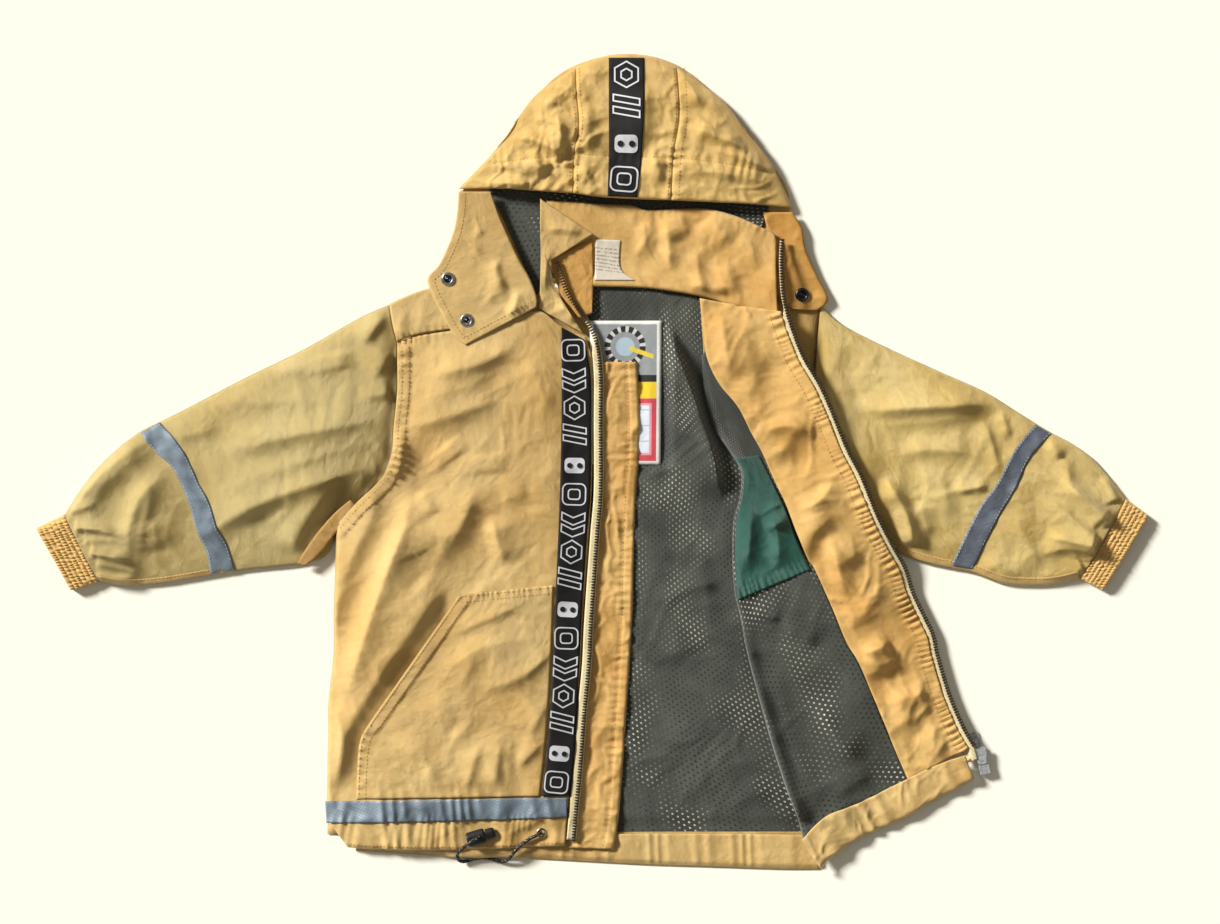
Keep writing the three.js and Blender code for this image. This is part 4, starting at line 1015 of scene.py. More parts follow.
RIGHT_SLEEVE_FACE = sleeve_face(RIGHT_SLEEVE_TOP, RIGHT_SLEEVE_FOOT, RIGHT_ARMHOLE, RIGHT_SLEEVE_FOLDS, 71)
LEFT_SLEEVE_FACE = sleeve_face(LEFT_SLEEVE_TOP, LEFT_SLEEVE_FOOT, LEFT_ARMHOLE, LEFT_SLEEVE_FOLDS, 83)
TOP_SHARE = 0.8  # of a flattened tube's columns, those on its upper side


def flat_tube(name, edges, face, material, replaces, spacing, thick):
    """A flattened tube. edges run along its two folds, and its top and bottom are its open ends."""
    width = max(lengths(edges["top"])[-1], lengths(edges["bottom"])[-1])
    length = max(lengths(edges["left"])[-1], lengths(edges["right"])[-1])
    columns = round(width / spacing / TOP_SHARE)
    bm = bmesh.new()
    bmesh.ops.create_grid(bm, x_segments=columns, y_segments=round(length / spacing), size=0.5)
    piece = made_object(name, bm)
    u, v = grid_shares(piece)
    upper = u <= TOP_SHARE
    across = np.where(upper, u / TOP_SHARE, (1 - u) / (1 - TOP_SHARE))
    x, y = coons(edges, across, v).T
    round_off = tube_rounding(across)
    under = SLEEVE_MIDDLE * (1 - 0.98 * round_off)
    z = np.where(upper, face(x, y), under)
    z = np.where((across < HAIR) | (across > 1 - HAIR), SLEEVE_MIDDLE, z)
    round_plan = np.where(upper, across, 2 - across) * width
    lay_flat(piece, x, y, z, np.stack([round_plan, (1 - v) * length], axis=-1), upper)
    bm = bmesh.new()
    bm.from_mesh(piece.data)
    bmesh.ops.remove_doubles(bm, verts=bm.verts, dist=0.00002)
    bm.to_mesh(piece.data)
    bm.free()
    wall(piece, thick)
    finished(piece, material, replaces)


def underarm_fold():
    """The seam allowance that turns up out of the right underarm."""
    cloth(
        "underarm_turned_seam",
        {
            "left": smooth_line([(-257, -87), (-248, -72), (-236, -56), (-224, -43), (-212, -33)]),
            "right": smooth_line([(-250, -89), (-238, -79), (-225, -62), (-215, -50), (-206, -38)]),
        },
        lambda x, y: 8.0 + 2.2 * rising(-70, -30, y) + 0.9 * crumple(x, y, 22, 151),
        # its tan is darkened as painted shade of the underarm
        SEAM_TAN_PAINTED_SHADE, "facing_cloth", rests_on=["right_sleeve_cloth"], spacing=1.2,
    )


ELASTIC_ROWS = 6
RIB_PITCH = 2.9


def elastic_face(x, y, wrist, end):
    """A shirred cuff: rows of elastic draw the cloth into short, wavering ribs."""
    near, run = from_line(x, y, wrist)
    far, _ = from_line(x, y, end)
    down = np.abs(near) / np.maximum(np.abs(near) + np.abs(far), 1e-6)
    row = np.floor(down * ELASTIC_ROWS)
    in_row = down * ELASTIC_ROWS - row
    wander = 0.45 * ripple(run, row * 37.0, 14, 5) + 0.5 * row
    ribs = 0.5 + 0.5 * np.sin(2 * math.pi * (run / RIB_PITCH + wander + 0.5 * (in_row - 0.5)))
    plump = np.sin(math.pi * np.clip(in_row, 0, 1)) ** 0.5
    span = lengths(wrist)[-1]
    edge = np.sqrt(np.clip(1 - np.abs(2 * run / span - 1) ** 10, 0, 1))
    return SLEEVE_MIDDLE + (5.4 + (0.5 + 1.5 * ribs) * plump - 0.4) * edge


def sleeve_pieces():
    faces = {"right": RIGHT_SLEEVE_FACE, "left": LEFT_SLEEVE_FACE}
    for side, material, top, foot, armhole, wrist in (
        ("right", SLEEVE_YELLOW, RIGHT_SLEEVE_TOP, RIGHT_SLEEVE_FOOT, RIGHT_SLEEVE_ARMHOLE, RIGHT_WRIST),
        ("left", LEFT_SLEEVE_PAINTED_LIGHT, LEFT_SLEEVE_TOP, LEFT_SLEEVE_FOOT, LEFT_ARMHOLE, LEFT_WRIST),
    ):
        edges = {"left": top, "right": foot, "top": armhole, "bottom": wrist}
        flat_tube(f"{side}_sleeve_cloth", edges, faces[side], material, [f"sleeve_{side}"], 2.1, 0.8)

    cuff_ends = {
        "right": (RIGHT_WRIST, smooth_line([(-479, -57), (-464, -83), (-449, -110)])),
        "left": (LEFT_WRIST, smooth_line([(465, -46), (446, -78), (426, -110)])),
    }
    for side, (wrist, end) in cuff_ends.items():
        fold_lines = {"left": np.array([wrist[0], end[0]]), "right": np.array([wrist[-1], end[-1]])}
        edges = {**fold_lines, "top": wrist, "bottom": end}
        flat_tube(
            f"{side}_elastic_cuff", edges, lambda x, y, w=wrist, e=end: elastic_face(x, y, w, e), FACING_ORANGE,
            [f"cuff_{side}"], 0.62, 0.8,
        )

    for side, foot, start, near, far in (
        ("right", RIGHT_SLEEVE_FOOT, 0.58, 5.5, 0.6),
        ("left", LEFT_SLEEVE_FOOT, 0.12, -7.0, -0.8),
    ):
        line = at(foot, np.linspace(start, 1, 60))
        on_edge = above(faces[side], 0.5)
        cloth(
            f"{side}_sleeve_seam", strip(line, near, far), on_edge, SHELL_YELLOW, "shell_cloth",
            rests_on=[f"{side}_sleeve_cloth"], thick=0.4, spacing=1.6,
        )
        sewn(f"{side}_sleeve_stitching", [(beside(line, 0.85 * near), on_edge, 3.2, 2.2)], THREAD_YELLOW)

    bands = (
        (
            "right", TAPE_BLUE,
            [(-390, 24), (-379, 9), (-365, -3), (-356, -18), (-348, -37), (-342, -59), (-334, -77), (-331, -96)],
            [(-374, 33), (-362, 20), (-350, 3), (-340, -18), (-330, -37), (-324, -57), (-316, -71), (-310, -93)],
        ),
        (
            "left", TAPE_GREY,
            [(369, 31), (352, 11), (335, -20), (320, -41), (297, -89)],
            [(383, 23), (365, 4), (350, -26), (337, -48), (316, -92)],
        ),
    )
    for side, tape, outer, inner in bands:
        edges = {"left": smooth_line(outer), "right": smooth_line(inner)}
        on_sleeve = above(faces[side], 0.7)
        cloth(
            f"{side}_reflective_band", edges,
            lambda x, y, face=on_sleeve: face(x, y) + 0.25 * ripple(x, y, 18, 19),
            tape, "reflective_tape", [f"sleeve_band_{side}"], [f"{side}_sleeve_cloth"], thick=0.4, spacing=1.8,
        )
        rows = [(beside(edges[edge], off), on_sleeve, 3.0, 2.0) for edge, off in (("left", -1.6), ("right", 1.6))]
        sewn(f"{side}_band_stitching", rows, THREAD_PALE)


# ------------------------------------------------------------------ right front, lying closed
FRONT_FOLDS = [
    ([(-81, 71), (-115, 56), (-157, 45)], -3.8, 10, 0.35),
    ([(-66, 104), (-102, 82), (-150, 72)], 3.6, 11, -0.4),
    ([(-80, 54), (-136, 35), (-168, 26)], 3.8, 13, -0.4),
    ([(-126, 20), (-115, 5)], -2.8, 9, 0.3),
    ([(-85, 9), (-83, -12)], -2.6, 8, 0.3),
    ([(-166, 30), (-162, 0), (-171, -25)], -6.4, 9, -0.2),
    ([(-183, -18), (-189, -54), (-204, -84), (-217, -127), (-224, -165)], -6.4, 10, 0.3, 1.45, (0.15, 0.3)),
    ([(-158, -24), (-166, -59), (-183, -101), (-200, -152), (-217, -208)], 7.5, 12, 0.35, 1.45, (0.25, 0.3)),
    ([(-100, -20), (-109, -50), (-126, -80)], -6.6, 9, 0.35),
    ([(-149, -21), (-134, -44)], -3.2, 7, 0.3),
    ([(-168, -46), (-136, -57), (-124, -71), (-138, -104)], -5.8, 11, 0.3),
    ([(-94, -46), (-80, -90)], 4.4, 9, 0.45),
    ([(-85, -37), (-58, -30)], -2.4, 5, 0.3),
    ([(-130, -114), (-170, -169), (-192, -203), (-213, -241), (-221, -286)], -6.8, 10, 0.45, 1.45, (0.12, 0.2)),
    ([(-149, -93), (-128, -118)], -3.4, 9, 0.3),
    ([(-226, -200), (-218, -240), (-226, -284)], 3.0, 6, 0.3),
    ([(-62, 90), (-50, 60), (-40, 40)], 1.6, 7, -0.3),
]
POCKET_FOLDS = [
    ([(-50, -114), (-85, -133), (-136, -153)], -3.0, 5, 0.4),
    ([(-62, -150), (-100, -158), (-134, -180)], 3.4, 13, 0.4),
    ([(-39, -150), (-51, -176), (-81, -193), (-106, -197)], -3.6, 6, 0.4),
    ([(-41, -203), (-58, -235)], -2.6, 5, 0.3),
    ([(-80, -230), (-88, -284)], -3.6, 5, 0.3),
    ([(-73, -226), (-76, -286)], -1.8, 4, 0.0),
    ([(-98, -238), (-112, -284)], -3.4, 5, 0.3),
    ([(-46, -238), (-70, -263)], -2.8, 4, 0.3),
    ([(-138, -192), (-117, -222)], -2.0, 7, 0.3),
    ([(-182, -236), (-150, -252), (-134, -284)], 2.8, 10, 0.3),
]
CALM_SPOTS = [((-50, -315), 11), ((-104, -318), 19), ((-65, -323), 11)]  # where the eyelet and the cord lock sit flat
HEM_LINE = smooth_line([(-233, -298), (-116, -297), (-28, -295)])
HEM_FOOT = smooth_line([(-214, -328), (-180, -329.5), (-116, -330), (-77, -328.5), (-30, -326)])
POCKET_SLANT = smooth_line([(-119, -113), (-157, -167), (-195, -221)])
POCKET_SIDE = smooth_line([(-195, -221), (-204, -240), (-207, -286.5)])
POCKET_TOP = smooth_line([(-119, -113), (-80, -109), (-40, -105)])
YOKE_SEAM = smooth_line([(-172, 101), (-154, 106.5), (-129, 110.6), (-99, 115)])


def hem_gathers(x, y):
    """The drawcord's gathers: strong along the hem casing, dying away above it."""
    pleat = np.sin(2 * math.pi * (x / 19.0 + 0.9 * ripple(x, 0 * x, 80, 23) + 0.012 * (y + 300)))
    small = np.sin(2 * math.pi * (x / 8.3 + 0.8 * ripple(x, 0 * x, 50, 25) - 0.02 * y))
    shape = 1.2 * (0.5 + 0.5 * pleat) ** 1.5 + 0.35 * small * rising(-296, -306, y)
    return shape * rising(-262, -300, y)


def front_face(x, y):
    """The upper face of the right front's shell."""
    side = 2.1 + 3.7 * rising(-226, -170, x)
    chest = 2.2 * mound(x, y, (-105, -10), (60, 90))
    pocket = 1.6 * mound(x, y, (-125, -200), (60, 60))
    calm = calm_round(x, y, CALM_SPOTS)
    stuffed = 2.4 * rising(-18, -44, x) * rising(-228, -205, x) * np.clip(calm, 0, 1)
    body = side + chest + pocket + SHELL + stuffed
    near_zip = rising(-14, -40, x - 0.06 * (y + 100) * (y < -40))
    under_tab = 1 - 0.8 * rising(86, 106, y)
    shape = folds(x, y, FRONT_FOLDS) * (0.2 + 0.8 * near_zip) + 1.4 * crumple(x, y, 44, 41)
    shape = (shape + 0.4 * ripple(x, y, 60, 47)) * under_tab + hem_gathers(x, y)
    armhole, _ = from_line(x, y, FRONT_ARMHOLE)
    allowance = 1.3 * rising(13, 10, np.abs(armhole)) - 0.5 * np.exp(-((np.abs(armhole) - 11) / 1.6) ** 2)
    seams = puckers(x, y, beside(FRONT_ARMHOLE, -6), 6.2, 1.5, 6.5, 3) + puckers(x, y, YOKE_SEAM, 6.0, 1.0, 6, 4)
    return settled(body + (shape + seams + allowance) * np.clip(calm, 0.05, 1), 3.2)


def pocket_face(x, y):
    off, _ = from_line(x, y, POCKET_SLANT)
    welt = 1.5 * rising(12, 9.5, np.abs(off)) - 0.3 * np.exp(-((np.abs(off) - 10) / 1.4) ** 2)
    swell = folds(x, y, POCKET_FOLDS) + 0.7 * crumple(x, y, 30, 49) + 1.6 * mound(x, y, (-120, -200), (58, 62))
    seams = puckers(x, y, POCKET_TOP, 5.4, 0.9, 6, 8) + puckers(x, y, POCKET_SIDE, 6.0, 0.9, 6, 9)
    foot = rising(-292, -268, y)
    return front_face(x, y) + 1.2 + welt + seams + swell * (0.35 + 0.65 * foot)


def ribbon_face(x, y):
    return front_face(x, y) + 1.6 + 0.4 * rising(-110, -116, y)


def right_front_pieces():
    zip_edge = join(
        smooth_line([(-12.5, 105), (-10, 97), (-7, 84), (-7, 34), (-7, -5)]),
        smooth_line(
            [(-7, -5), (-7.5, -25), (-10, -63), (-15, -133), (-17, -173), (-21, -215), (-24, -256), (-27.5, -294)]
        ),
    )
    neckline = smooth_line(
        [(-172, 101), (-154, 106), (-129, 110), (-100, 114), (-75, 121), (-52, 127), (-34, 115), (-12.5, 105)]
    )
    cloth(
        "right_front_shell",
        {
            "left": join(FRONT_ARMHOLE, FRONT_SIDE), "right": zip_edge, "top": neckline,
            "bottom": smooth_line([(-233, -297), (-116, -296), (-27.5, -294)]),
        },
        lambda x, y: front_face(x, y) + rolled(x, y, FRONT_SIDE, 5, 3.0),
        SHELL_YELLOW, "shell_cloth", ["front_right"], ["back_shell"], spacing=1.9,
    )
    cloth(
        "right_yoke",
        {
            "left": YOKE_ARMHOLE, "right": np.array([(-98, 151), (-99, 115.5)]),
            "top": smooth_line([(-179, 133), (-146, 146), (-98, 151)]),
            "bottom": smooth_line([(-172, 101), (-154, 107.2), (-129, 111.2), (-99, 115.5)]),
        },
        lambda x, y: front_face(x, y) + 0.6 + folds(x, y, [
            ([(-150, 104), (-152, 122), (-146, 140)], 0.9, 8, -0.3),
            ([(-166, 100), (-168, 116), (-164, 132)], 1.2, 6, 0.2),
        ]),
        SHELL_YELLOW, "shell_cloth", ["yoke_right"], ["right_front_shell"], spacing=1.8,
    )
    cloth(
        "front_hem_casing",
        {
            "left": smooth_line([(-233, -298), (-227, -310), (-214, -328)]),
            "right": smooth_line([(-28, -295), (-29, -310), (-30, -326)]),
            "top": HEM_LINE, "bottom": HEM_FOOT,
        },
        lambda x, y: front_face(x, y) + 0.4 + rolled(x, y, HEM_FOOT, 5, 3.5),
        SHELL_YELLOW, "shell_cloth", ["front_hem_band"], ["back_shell"], spacing=1.3, fullness=1.1,
    )
    cloth(
        "hem_reflective_tape",
        {
            "left": smooth_line([(-233.5, -288.5), (-232.5, -307)]), "right": smooth_line([(-28, -285), (-28, -301.5)]),
            "top": smooth_line([(-233.5, -288.5), (-155, -287), (-77, -285.4), (-28, -285)]),
            "bottom": smooth_line([(-232.5, -307), (-116, -304.5), (-28, -301.5)]),
        },
        lambda x, y: front_face(x, y) + 1.9 + 0.5 * hem_gathers(x, y),
        TAPE_BLUE, "reflective_tape", ["hem_reflective"], ["front_hem_casing"], thick=0.4, spacing=1.3,
    )
    cloth(
        "pouch_pocket",
        {
            "left": join(POCKET_SLANT, POCKET_SIDE),
            "right": smooth_line([(-40, -105), (-42, -165), (-46, -233), (-51.5, -284)]),
        },
        pocket_face, SHELL_YELLOW, "shell_cloth", ["pocket"], ["right_front_shell"], spacing=1.8,
    )
    cloth(
        "front_woven_ribbon",
        {
            "left": smooth_line(
                [(-33, 113.5), (-33, 34), (-35, -44), (-39, -135), (-40, -165), (-44, -233), (-50, -283.6)]
            ),
            "right": smooth_line([
                (-14, 103), (-8.3, 73), (-7.8, 34), (-8.3, -25), (-11.3, -63), (-16, -135), (-21.5, -243),
                (-26, -283.6),
            ]),
        },
        ribbon_face, RIBBON_BLACK, "woven_ribbon", ["front_ribbon"], ["right_front_shell"], thick=0.5, spacing=2.0,
    )


PLACKET_RIGHT = smooth_line(
    [(31, 84), (33, 46), (33, 7), (30, -31), (28, -91), (27, -133), (22, -215), (16, -298), (11, -329)]
)
PLACKET_LEFT = join(
    np.array([(-4, 84)]), beside(spaced(smooth_line(RIGHT_TEETH[4:]), 20), 4)[2:-1], np.array([(-27, -328)])
)


def placket_face(x, y):
    edge, run = from_line(x, y, PLACKET_RIGHT)
    hem = 0.5 * rising(10, 7, np.abs(edge)) + groove(x, y, beside(PLACKET_RIGHT, 9), 0.7, 1.6)
    wrinkles = 2.0 * crumple(x, y, 21, 91) + 0.4 * ripple(x, y, 34, 95)
    seam = puckers(x, y, beside(PLACKET_RIGHT, 9), 6.5, 0.5, 6, 14)
    return 6.0 + hem + wrinkles + seam + rolled(x, y, PLACKET_RIGHT, 2.5, 1.5)


def placket_piece():
    cloth(
        "wind_placket", {"left": PLACKET_LEFT, "right": PLACKET_RIGHT},
        placket_face, FACING_ORANGE, "facing_cloth", ["placket"], ["back_mesh_lining"], spacing=1.5,
    )


# ------------------------------------------------------------------ collar
COLLAR_FOLDS = [
    ([(42, 205), (40, 171)], -3.4, 6, 0.3),
    ([(70, 214), (77, 189)], -3.0, 5, 0.3),
    ([(96, 212), (116, 186)], -4.4, 9, 0.35),
    ([(82, 182), (92, 138)], -3.6, 5, 0.3),
    ([(55, 212), (60, 158)], 3.2, 7, 0.35),
    ([(110, 170), (118, 140)], -3.0, 6, 0.3),
    ([(128, 196), (136, 160)], -2.8, 6, 0.3),
    ([(20, 206), (26, 176)], -2.0, 6, 0.3),
    ([(74, 150), (110, 142)], 2.4, 4, 0.3),
]
COLLAR_TOP = smooth_line(
    [(-46, 221), (-21, 220), (4, 218), (27, 217), (39, 213), (64, 214), (89, 214), (116, 207), (147, 193)]
)
COLLAR_FOOT = smooth_line([(-20, 148), (29, 147), (51, 145), (86, 139), (119, 129.5), (150, 124)])


def collar_face(x, y):
    lift = 4.1 + 4.4 * rising(70, 125, x) + 2.0 * rising(165, 205, y) + 0.9 * zip_stand(x, y)
    shape = folds(x, y, COLLAR_FOLDS) * rising(24, 40, x) + 1.5 * crumple(x, y, 30, 55) * rising(20, 40, x)
    foot, _ = from_line(x, y, COLLAR_FOOT)
    lift = lift + 2.4 * np.exp(-((foot / 12) ** 2)) * rising(96, 70, x)
    rounded = rolled(x, y, COLLAR_TOP, 4, 2.0) + rolled(x, y, COLLAR_FOOT, 3, 1.0)
    return settled(lift + SHELL + shape + puckers(x, y, COLLAR_TOP, 5.5, 0.4, 6, 17), 5.4) + rounded


def collar_end_face(x, y):
    lift = 8.5 + 3.0 * rising(130, 180, y)
    ridge = folds(x, y, [
        ([(-47, 140), (-46, 165), (-40, 185)], 2.5, 5, 0.0),
        ([(-48, 196), (-32, 196), (-14, 192)], 2.0, 5, 0.3),
        ([(-40, 130), (-30, 128), (-20, 116)], 2.5, 5, 0.3),
    ])
    return lift + ridge + 0.8 * crumple(x, y, 20, 57)


def collar_pieces():
    cloth(
        "collar_inside",
        {
            "left": smooth_line([(-46, 221), (-33, 185), (-20, 148)]),
            "right": smooth_line([(147, 193), (149, 185), (148.5, 167), (149, 144), (150, 124)]),
            "top": COLLAR_TOP, "bottom": COLLAR_FOOT,
        },
        collar_face, FACING_ORANGE, "facing_cloth", ["collar_back"], ["back_shell"], spacing=1.7,
    )
    cloth(
        "collar_right_outer",
        {
            "left": np.array([(-51, 222), (-51, 198), (-50.5, 175), (-51, 150), (-52, 129)]),
            "right": np.array([(-6, 192), (-44, 168), (-37, 143), (-21, 118), (-14.5, 108)]),
        },
        collar_end_face, SHELL_YELLOW, "shell_cloth", ["collar_right_end"], ["collar_inside"], spacing=1.4,
    )
    cloth(
        "collar_right_lining",
        {
            "left": np.array([(-44, 170), (-39, 155), (-33, 140), (-18, 121)]),
            "right": np.array([(-6.5, 189), (-6, 170), (-6, 150), (-7, 125)]),
        },
        lambda x, y: 7.5 + 1.2 * crumple(x, y, 20, 58),
        INSIDE_ORANGE, "facing_cloth", ["collar_right_inside"], ["collar_inside"], spacing=1.6,
    )


# ------------------------------------------------------------------ left front, opened outwards, inside up
FACING_FOLDS = [
    ([(118, 70), (132, 54), (146, 38)], -4.0, 9, 0.3),
    ([(176, 36), (161, 9), (148, -8)], -4.6, 9, 0.3),
    ([(204, -46), (185, -63), (176, -86)], -5.0, 8, 0.3),
    ([(184, 18), (160, 30), (130, 22)], 4.0, 9, -0.45),
    ([(192, -60), (200, -90), (210, -120)], 4.2, 9, 0.4),
    ([(248, -103), (231, -129), (208, -148)], -6.0, 9, 0.35),
    ([(246, -152), (221, -165)], 4.6, 7, 0.4),
    ([(259, -167), (238, -179), (222, -190)], -5.0, 7, 0.3),
    ([(284, -193), (240, -206)], 4.2, 12, 0.4),
    ([(262, -237), (280, -250), (296, -255)], -4.0, 7, 0.3),
    ([(104, 132), (104, 104), (112, 66)], 3.2, 8, 0.35),
    ([(128, 124), (130, 96), (142, 50)], -3.0, 8, 0.3),
    ([(200, -14), (184, -34), (166, -44)], 3.6, 8, 0.4),
    ([(226, -74), (210, -88), (192, -94)], -3.4, 7, 0.3),
    ([(270, -216), (252, -230), (244, -240)], -3.2, 6, 0.3),
]
DOOR_LINING_FOLDS = [
    ([(170, -312), (148, -242), (129, -178), (117, -128)], 5.6, 7, 0.1, 1.4, (0.08, 0.2)),
    ([(152, -166), (160, -205), (178, -262), (196, -292)], -3.6, 10, 0.3, 1.45, (0.2, 0.15)),
    ([(180, -200), (200, -232), (222, -258)], 4.4, 11, 0.4),
    ([(150, -138), (168, -146), (186, -158)], 2.8, 8, 0.4),
    ([(196, -290), (216, -276), (236, -268)], -2.8, 6, 0.4),
    ([(128, -122), (140, -132), (156, -132)], 2.6, 6, 0.4),
]
BAG_FOLDS = [
    ([(124, -100), (126, -66), (128, -30)], 3.6, 8, 0.2),
    ([(150, -96), (150, -66), (142, -34)], 4.0, 7, -0.2),
    ([(140, -60), (152, -52), (160, -52)], 2.0, 4, 0.3),
    ([(134, -48), (144, -40), (156, -36)], 1.8, 4, 0.3),
]
FACING_STITCH = beside(DOOR_ZIP, 15.6)
LINING_START = 0.1  # share of the front's length; above it the facing covers the whole width


def door_lift(x, y):
    over_sleeve = 4.4 * rising(140, 182, x) * rising(-92, -48, y)
    over_shoulder = 3.2 * rising(100, 132, x) * rising(60, 100, y)
    side_seam = 232 - 0.17 * np.maximum(0, -62 - y)
    on_floor = rising(0, 1, (x - side_seam - 3) / 39) * rising(-72, -108, y)
    slider = 3.0 * mound(x, y, (316, -245), (30, 30))
    return np.maximum(4.1 * (1 - on_floor) + np.maximum(over_sleeve, over_shoulder), 0) + slider * on_floor


def zip_stand(x, y):
    """The zip's stiff tape holds the front's edge up, most of all over the sleeve."""
    off, _ = from_line(x, y, LEFT_ZIP_LINE)
    beside_zip = np.exp(-((off / 20.0) ** 2))
    return (1.5 + 6.5 * rising(-110, -30, y)) * beside_zip * rising(190, 150, y)


def door_base(x, y):
    return door_lift(x, y) + SHELL + GAP + LINING + zip_stand(x, y)


def shell_face(x, y):
    return np.maximum(door_lift(x, y) + SHELL + 0.5 * zip_stand(x, y) - 0.8, 1.0)


def facing_face(x, y):
    ladder = puckers(x, y, beside(FACING_STITCH, -4.4), 5.0, 1.7, 5.4, 21)
    shape = folds(x, y, FACING_FOLDS) + 1.8 * crumple(x, y, 32, 63) + 0.4 * ripple(x, y, 50, 67)
    off, _ = from_line(x, y, FACING_STITCH)
    clear = rising(3, 14, np.abs(off - 4.4))
    return settled(door_base(x, y) + 1.2 + shape * (0.25 + 0.75 * clear) + ladder, shell_face(x, y) + 0.9)


def door_lining_face(x, y):
    shape = folds(x, y, DOOR_LINING_FOLDS) + 0.9 * crumple(x, y, 40, 73) + 0.4 * ripple(x, y, 60, 75)
    off, _ = from_line(x, y, FACING_EDGE)
    tuck = rising(1, 10, np.abs(off))
    height = settled(door_base(x, y) + 0.8 + shape * tuck, shell_face(x, y) + 0.9)
    return height + rolled(x, y, DOOR_FOLD, 7, 4.5)


def bag_face(x, y):
    gathered = puckers(x, y, smooth_line([(116, -116), (146, -106), (178, -90)]), 5.0, 1.1, 9, 33)
    height = door_base(x, y) + 2.4 + folds(x, y, BAG_FOLDS) + 0.6 * crumple(x, y, 26, 77) + gathered
    return height + rolled(x, y, DOOR_FOLD, 7, 4.5)


def left_front_pieces():
    facing_top = join(FACING_EDGE[:1], smooth_line([(119, 131.5), DOOR_ZIP_SIDE[0]]))
    lining_hem = smooth_line([*DOOR_HEM[:3], (261, -272)])
    cloth(
        "left_front_shell",
        {
            "left": beside(DOOR_FOLD, -3), "right": beside(DOOR_ZIP_SIDE, 1.5),
            "top": join(beside(DOOR_FOLD, -3)[:1], facing_top),
            "bottom": join(beside(DOOR_FOLD, -3)[-1:], lining_hem[1:], beside(DOOR_ZIP_SIDE, 1.5)[-1:]),
        },
        shell_face, SHELL_YELLOW, "shell_cloth", ["front_left"], ["back_mesh_lining", "left_sleeve_cloth"], spacing=5.0,
    )
    cloth(
        "left_facing", {"left": FACING_EDGE, "right": DOOR_ZIP_SIDE, "top": facing_top},
        facing_face, FACING_ORANGE, "facing_cloth", ["facing_left"], ["left_front_shell"], spacing=1.6,
    )
    share = np.linspace(LINING_START, 1, 120)
    cloth(
        "left_mesh_lining", {"left": at(DOOR_FOLD, share), "right": at(FACING_EDGE, share), "bottom": lining_hem},
        door_lining_face, MESH, "mesh_lining", ["lining_left"], ["left_front_shell"], spacing=1.9,
    )
    cloth(
        "green_pocket_bag",
        {
            "left": smooth_line([(114, 2), (121, -10), (120, -31), (115, -51), (114, -84), (116, -118)]),
            "right": smooth_line([(134, 5), (145, -17), (155, -38), (164, -62), (178, -92)]),
        },
        bag_face, BAG_GREEN, "pocket_bag_cloth", ["pocket_bag_left"], ["left_mesh_lining"], spacing=1.4,
    )
    hem_top = beside(smooth_line(DOOR_HEM), -3.2)
    hem_foot = smooth_line([(187, -346), (195, -337), (221, -320), (259, -303), (273, -294), (300, -280), (317, -270)])

    def hem_face(x, y):
        _, run = from_line(x, y, hem_foot)
        pleat = np.sin(2 * math.pi * (run / 19 + 0.5 * ripple(run, 0 * run, 90, 29)))
        body = 1.7 * (0.5 + 0.5 * pleat) ** 1.4 + 1.6 * crumple(x, y, 22, 30)
        return door_lift(x, y) + 2 * SHELL + 2.6 + body + rolled(x, y, hem_foot, 5, 3.5)

    cloth(
        "left_hem_casing",
        {
            "left": join(hem_top[:1], np.array([(179, -335), (187, -346)])),
            "right": join(hem_top[-1:], np.array([(313, -261), (317, -270)])), "top": hem_top, "bottom": hem_foot,
        },
        hem_face, SHELL_YELLOW, "shell_cloth", ["hem_band_left"], ["left_front_shell"], spacing=1.3, fullness=1.1,
    )


# ------------------------------------------------------------------ zip
TOOTH_PITCH = 2.4
TOOTH_BLOCKS = (((1.25, 3.4, 2.4), (0, 0, 0.9)), ((1.7, 1.3, 2.0), (0, 1.3, 0.9)))  # a size and its place, each
TOOTH_ROUNDING = 0.25


def right_zip_face(x, y):
    stand = 8.4 + 2.2 * rising(110, 150, y) + 0.9 * ripple(x, y, 60, 37) * rising(100, 60, y)
    return np.maximum(stand, (front_face(x, y) + 0.8) * rising(104, 92, y))


def left_zip_face(x, y):
    off, _ = from_line(x, y, LEFT_ZIP_LINE)
    return door_base(x, y) + 0.5 - 2.6 * rising(5.5, 8.5, np.abs(off))


def teeth(name, line, top_face, material, replaces):
    bm = bmesh.new()
    spots = spaced(line, int(lengths(line)[-1] / TOOTH_PITCH))
    z = top_face(spots[:, 0], spots[:, 1])
    heading = np.gradient(spots, axis=0)
    for (x, y), (hx, hy), height in zip(spots, heading, z):
        place = Matrix.Translation(placed(x, y, height))
        turn = Matrix.Rotation(math.atan2(hy, hx), 4, "Z")
        for size, offset in TOOTH_BLOCKS:
            shape = Matrix.Diagonal((*[s * MM for s in size], 1))
            moved = Matrix.Translation(Vector(offset) * MM)
            bmesh.ops.create_cube(bm, size=1.0, matrix=place @ turn @ moved @ shape)
    piece = made_object(name, bm)
    rounding = piece.modifiers.new("rounding", "BEVEL")
    rounding.width = TOOTH_ROUNDING * MM
    rounding.segments = 1
    finished(piece, material, replaces)
    piece.data.polygons.foreach_set("use_smooth", [False] * len(piece.data.polygons))


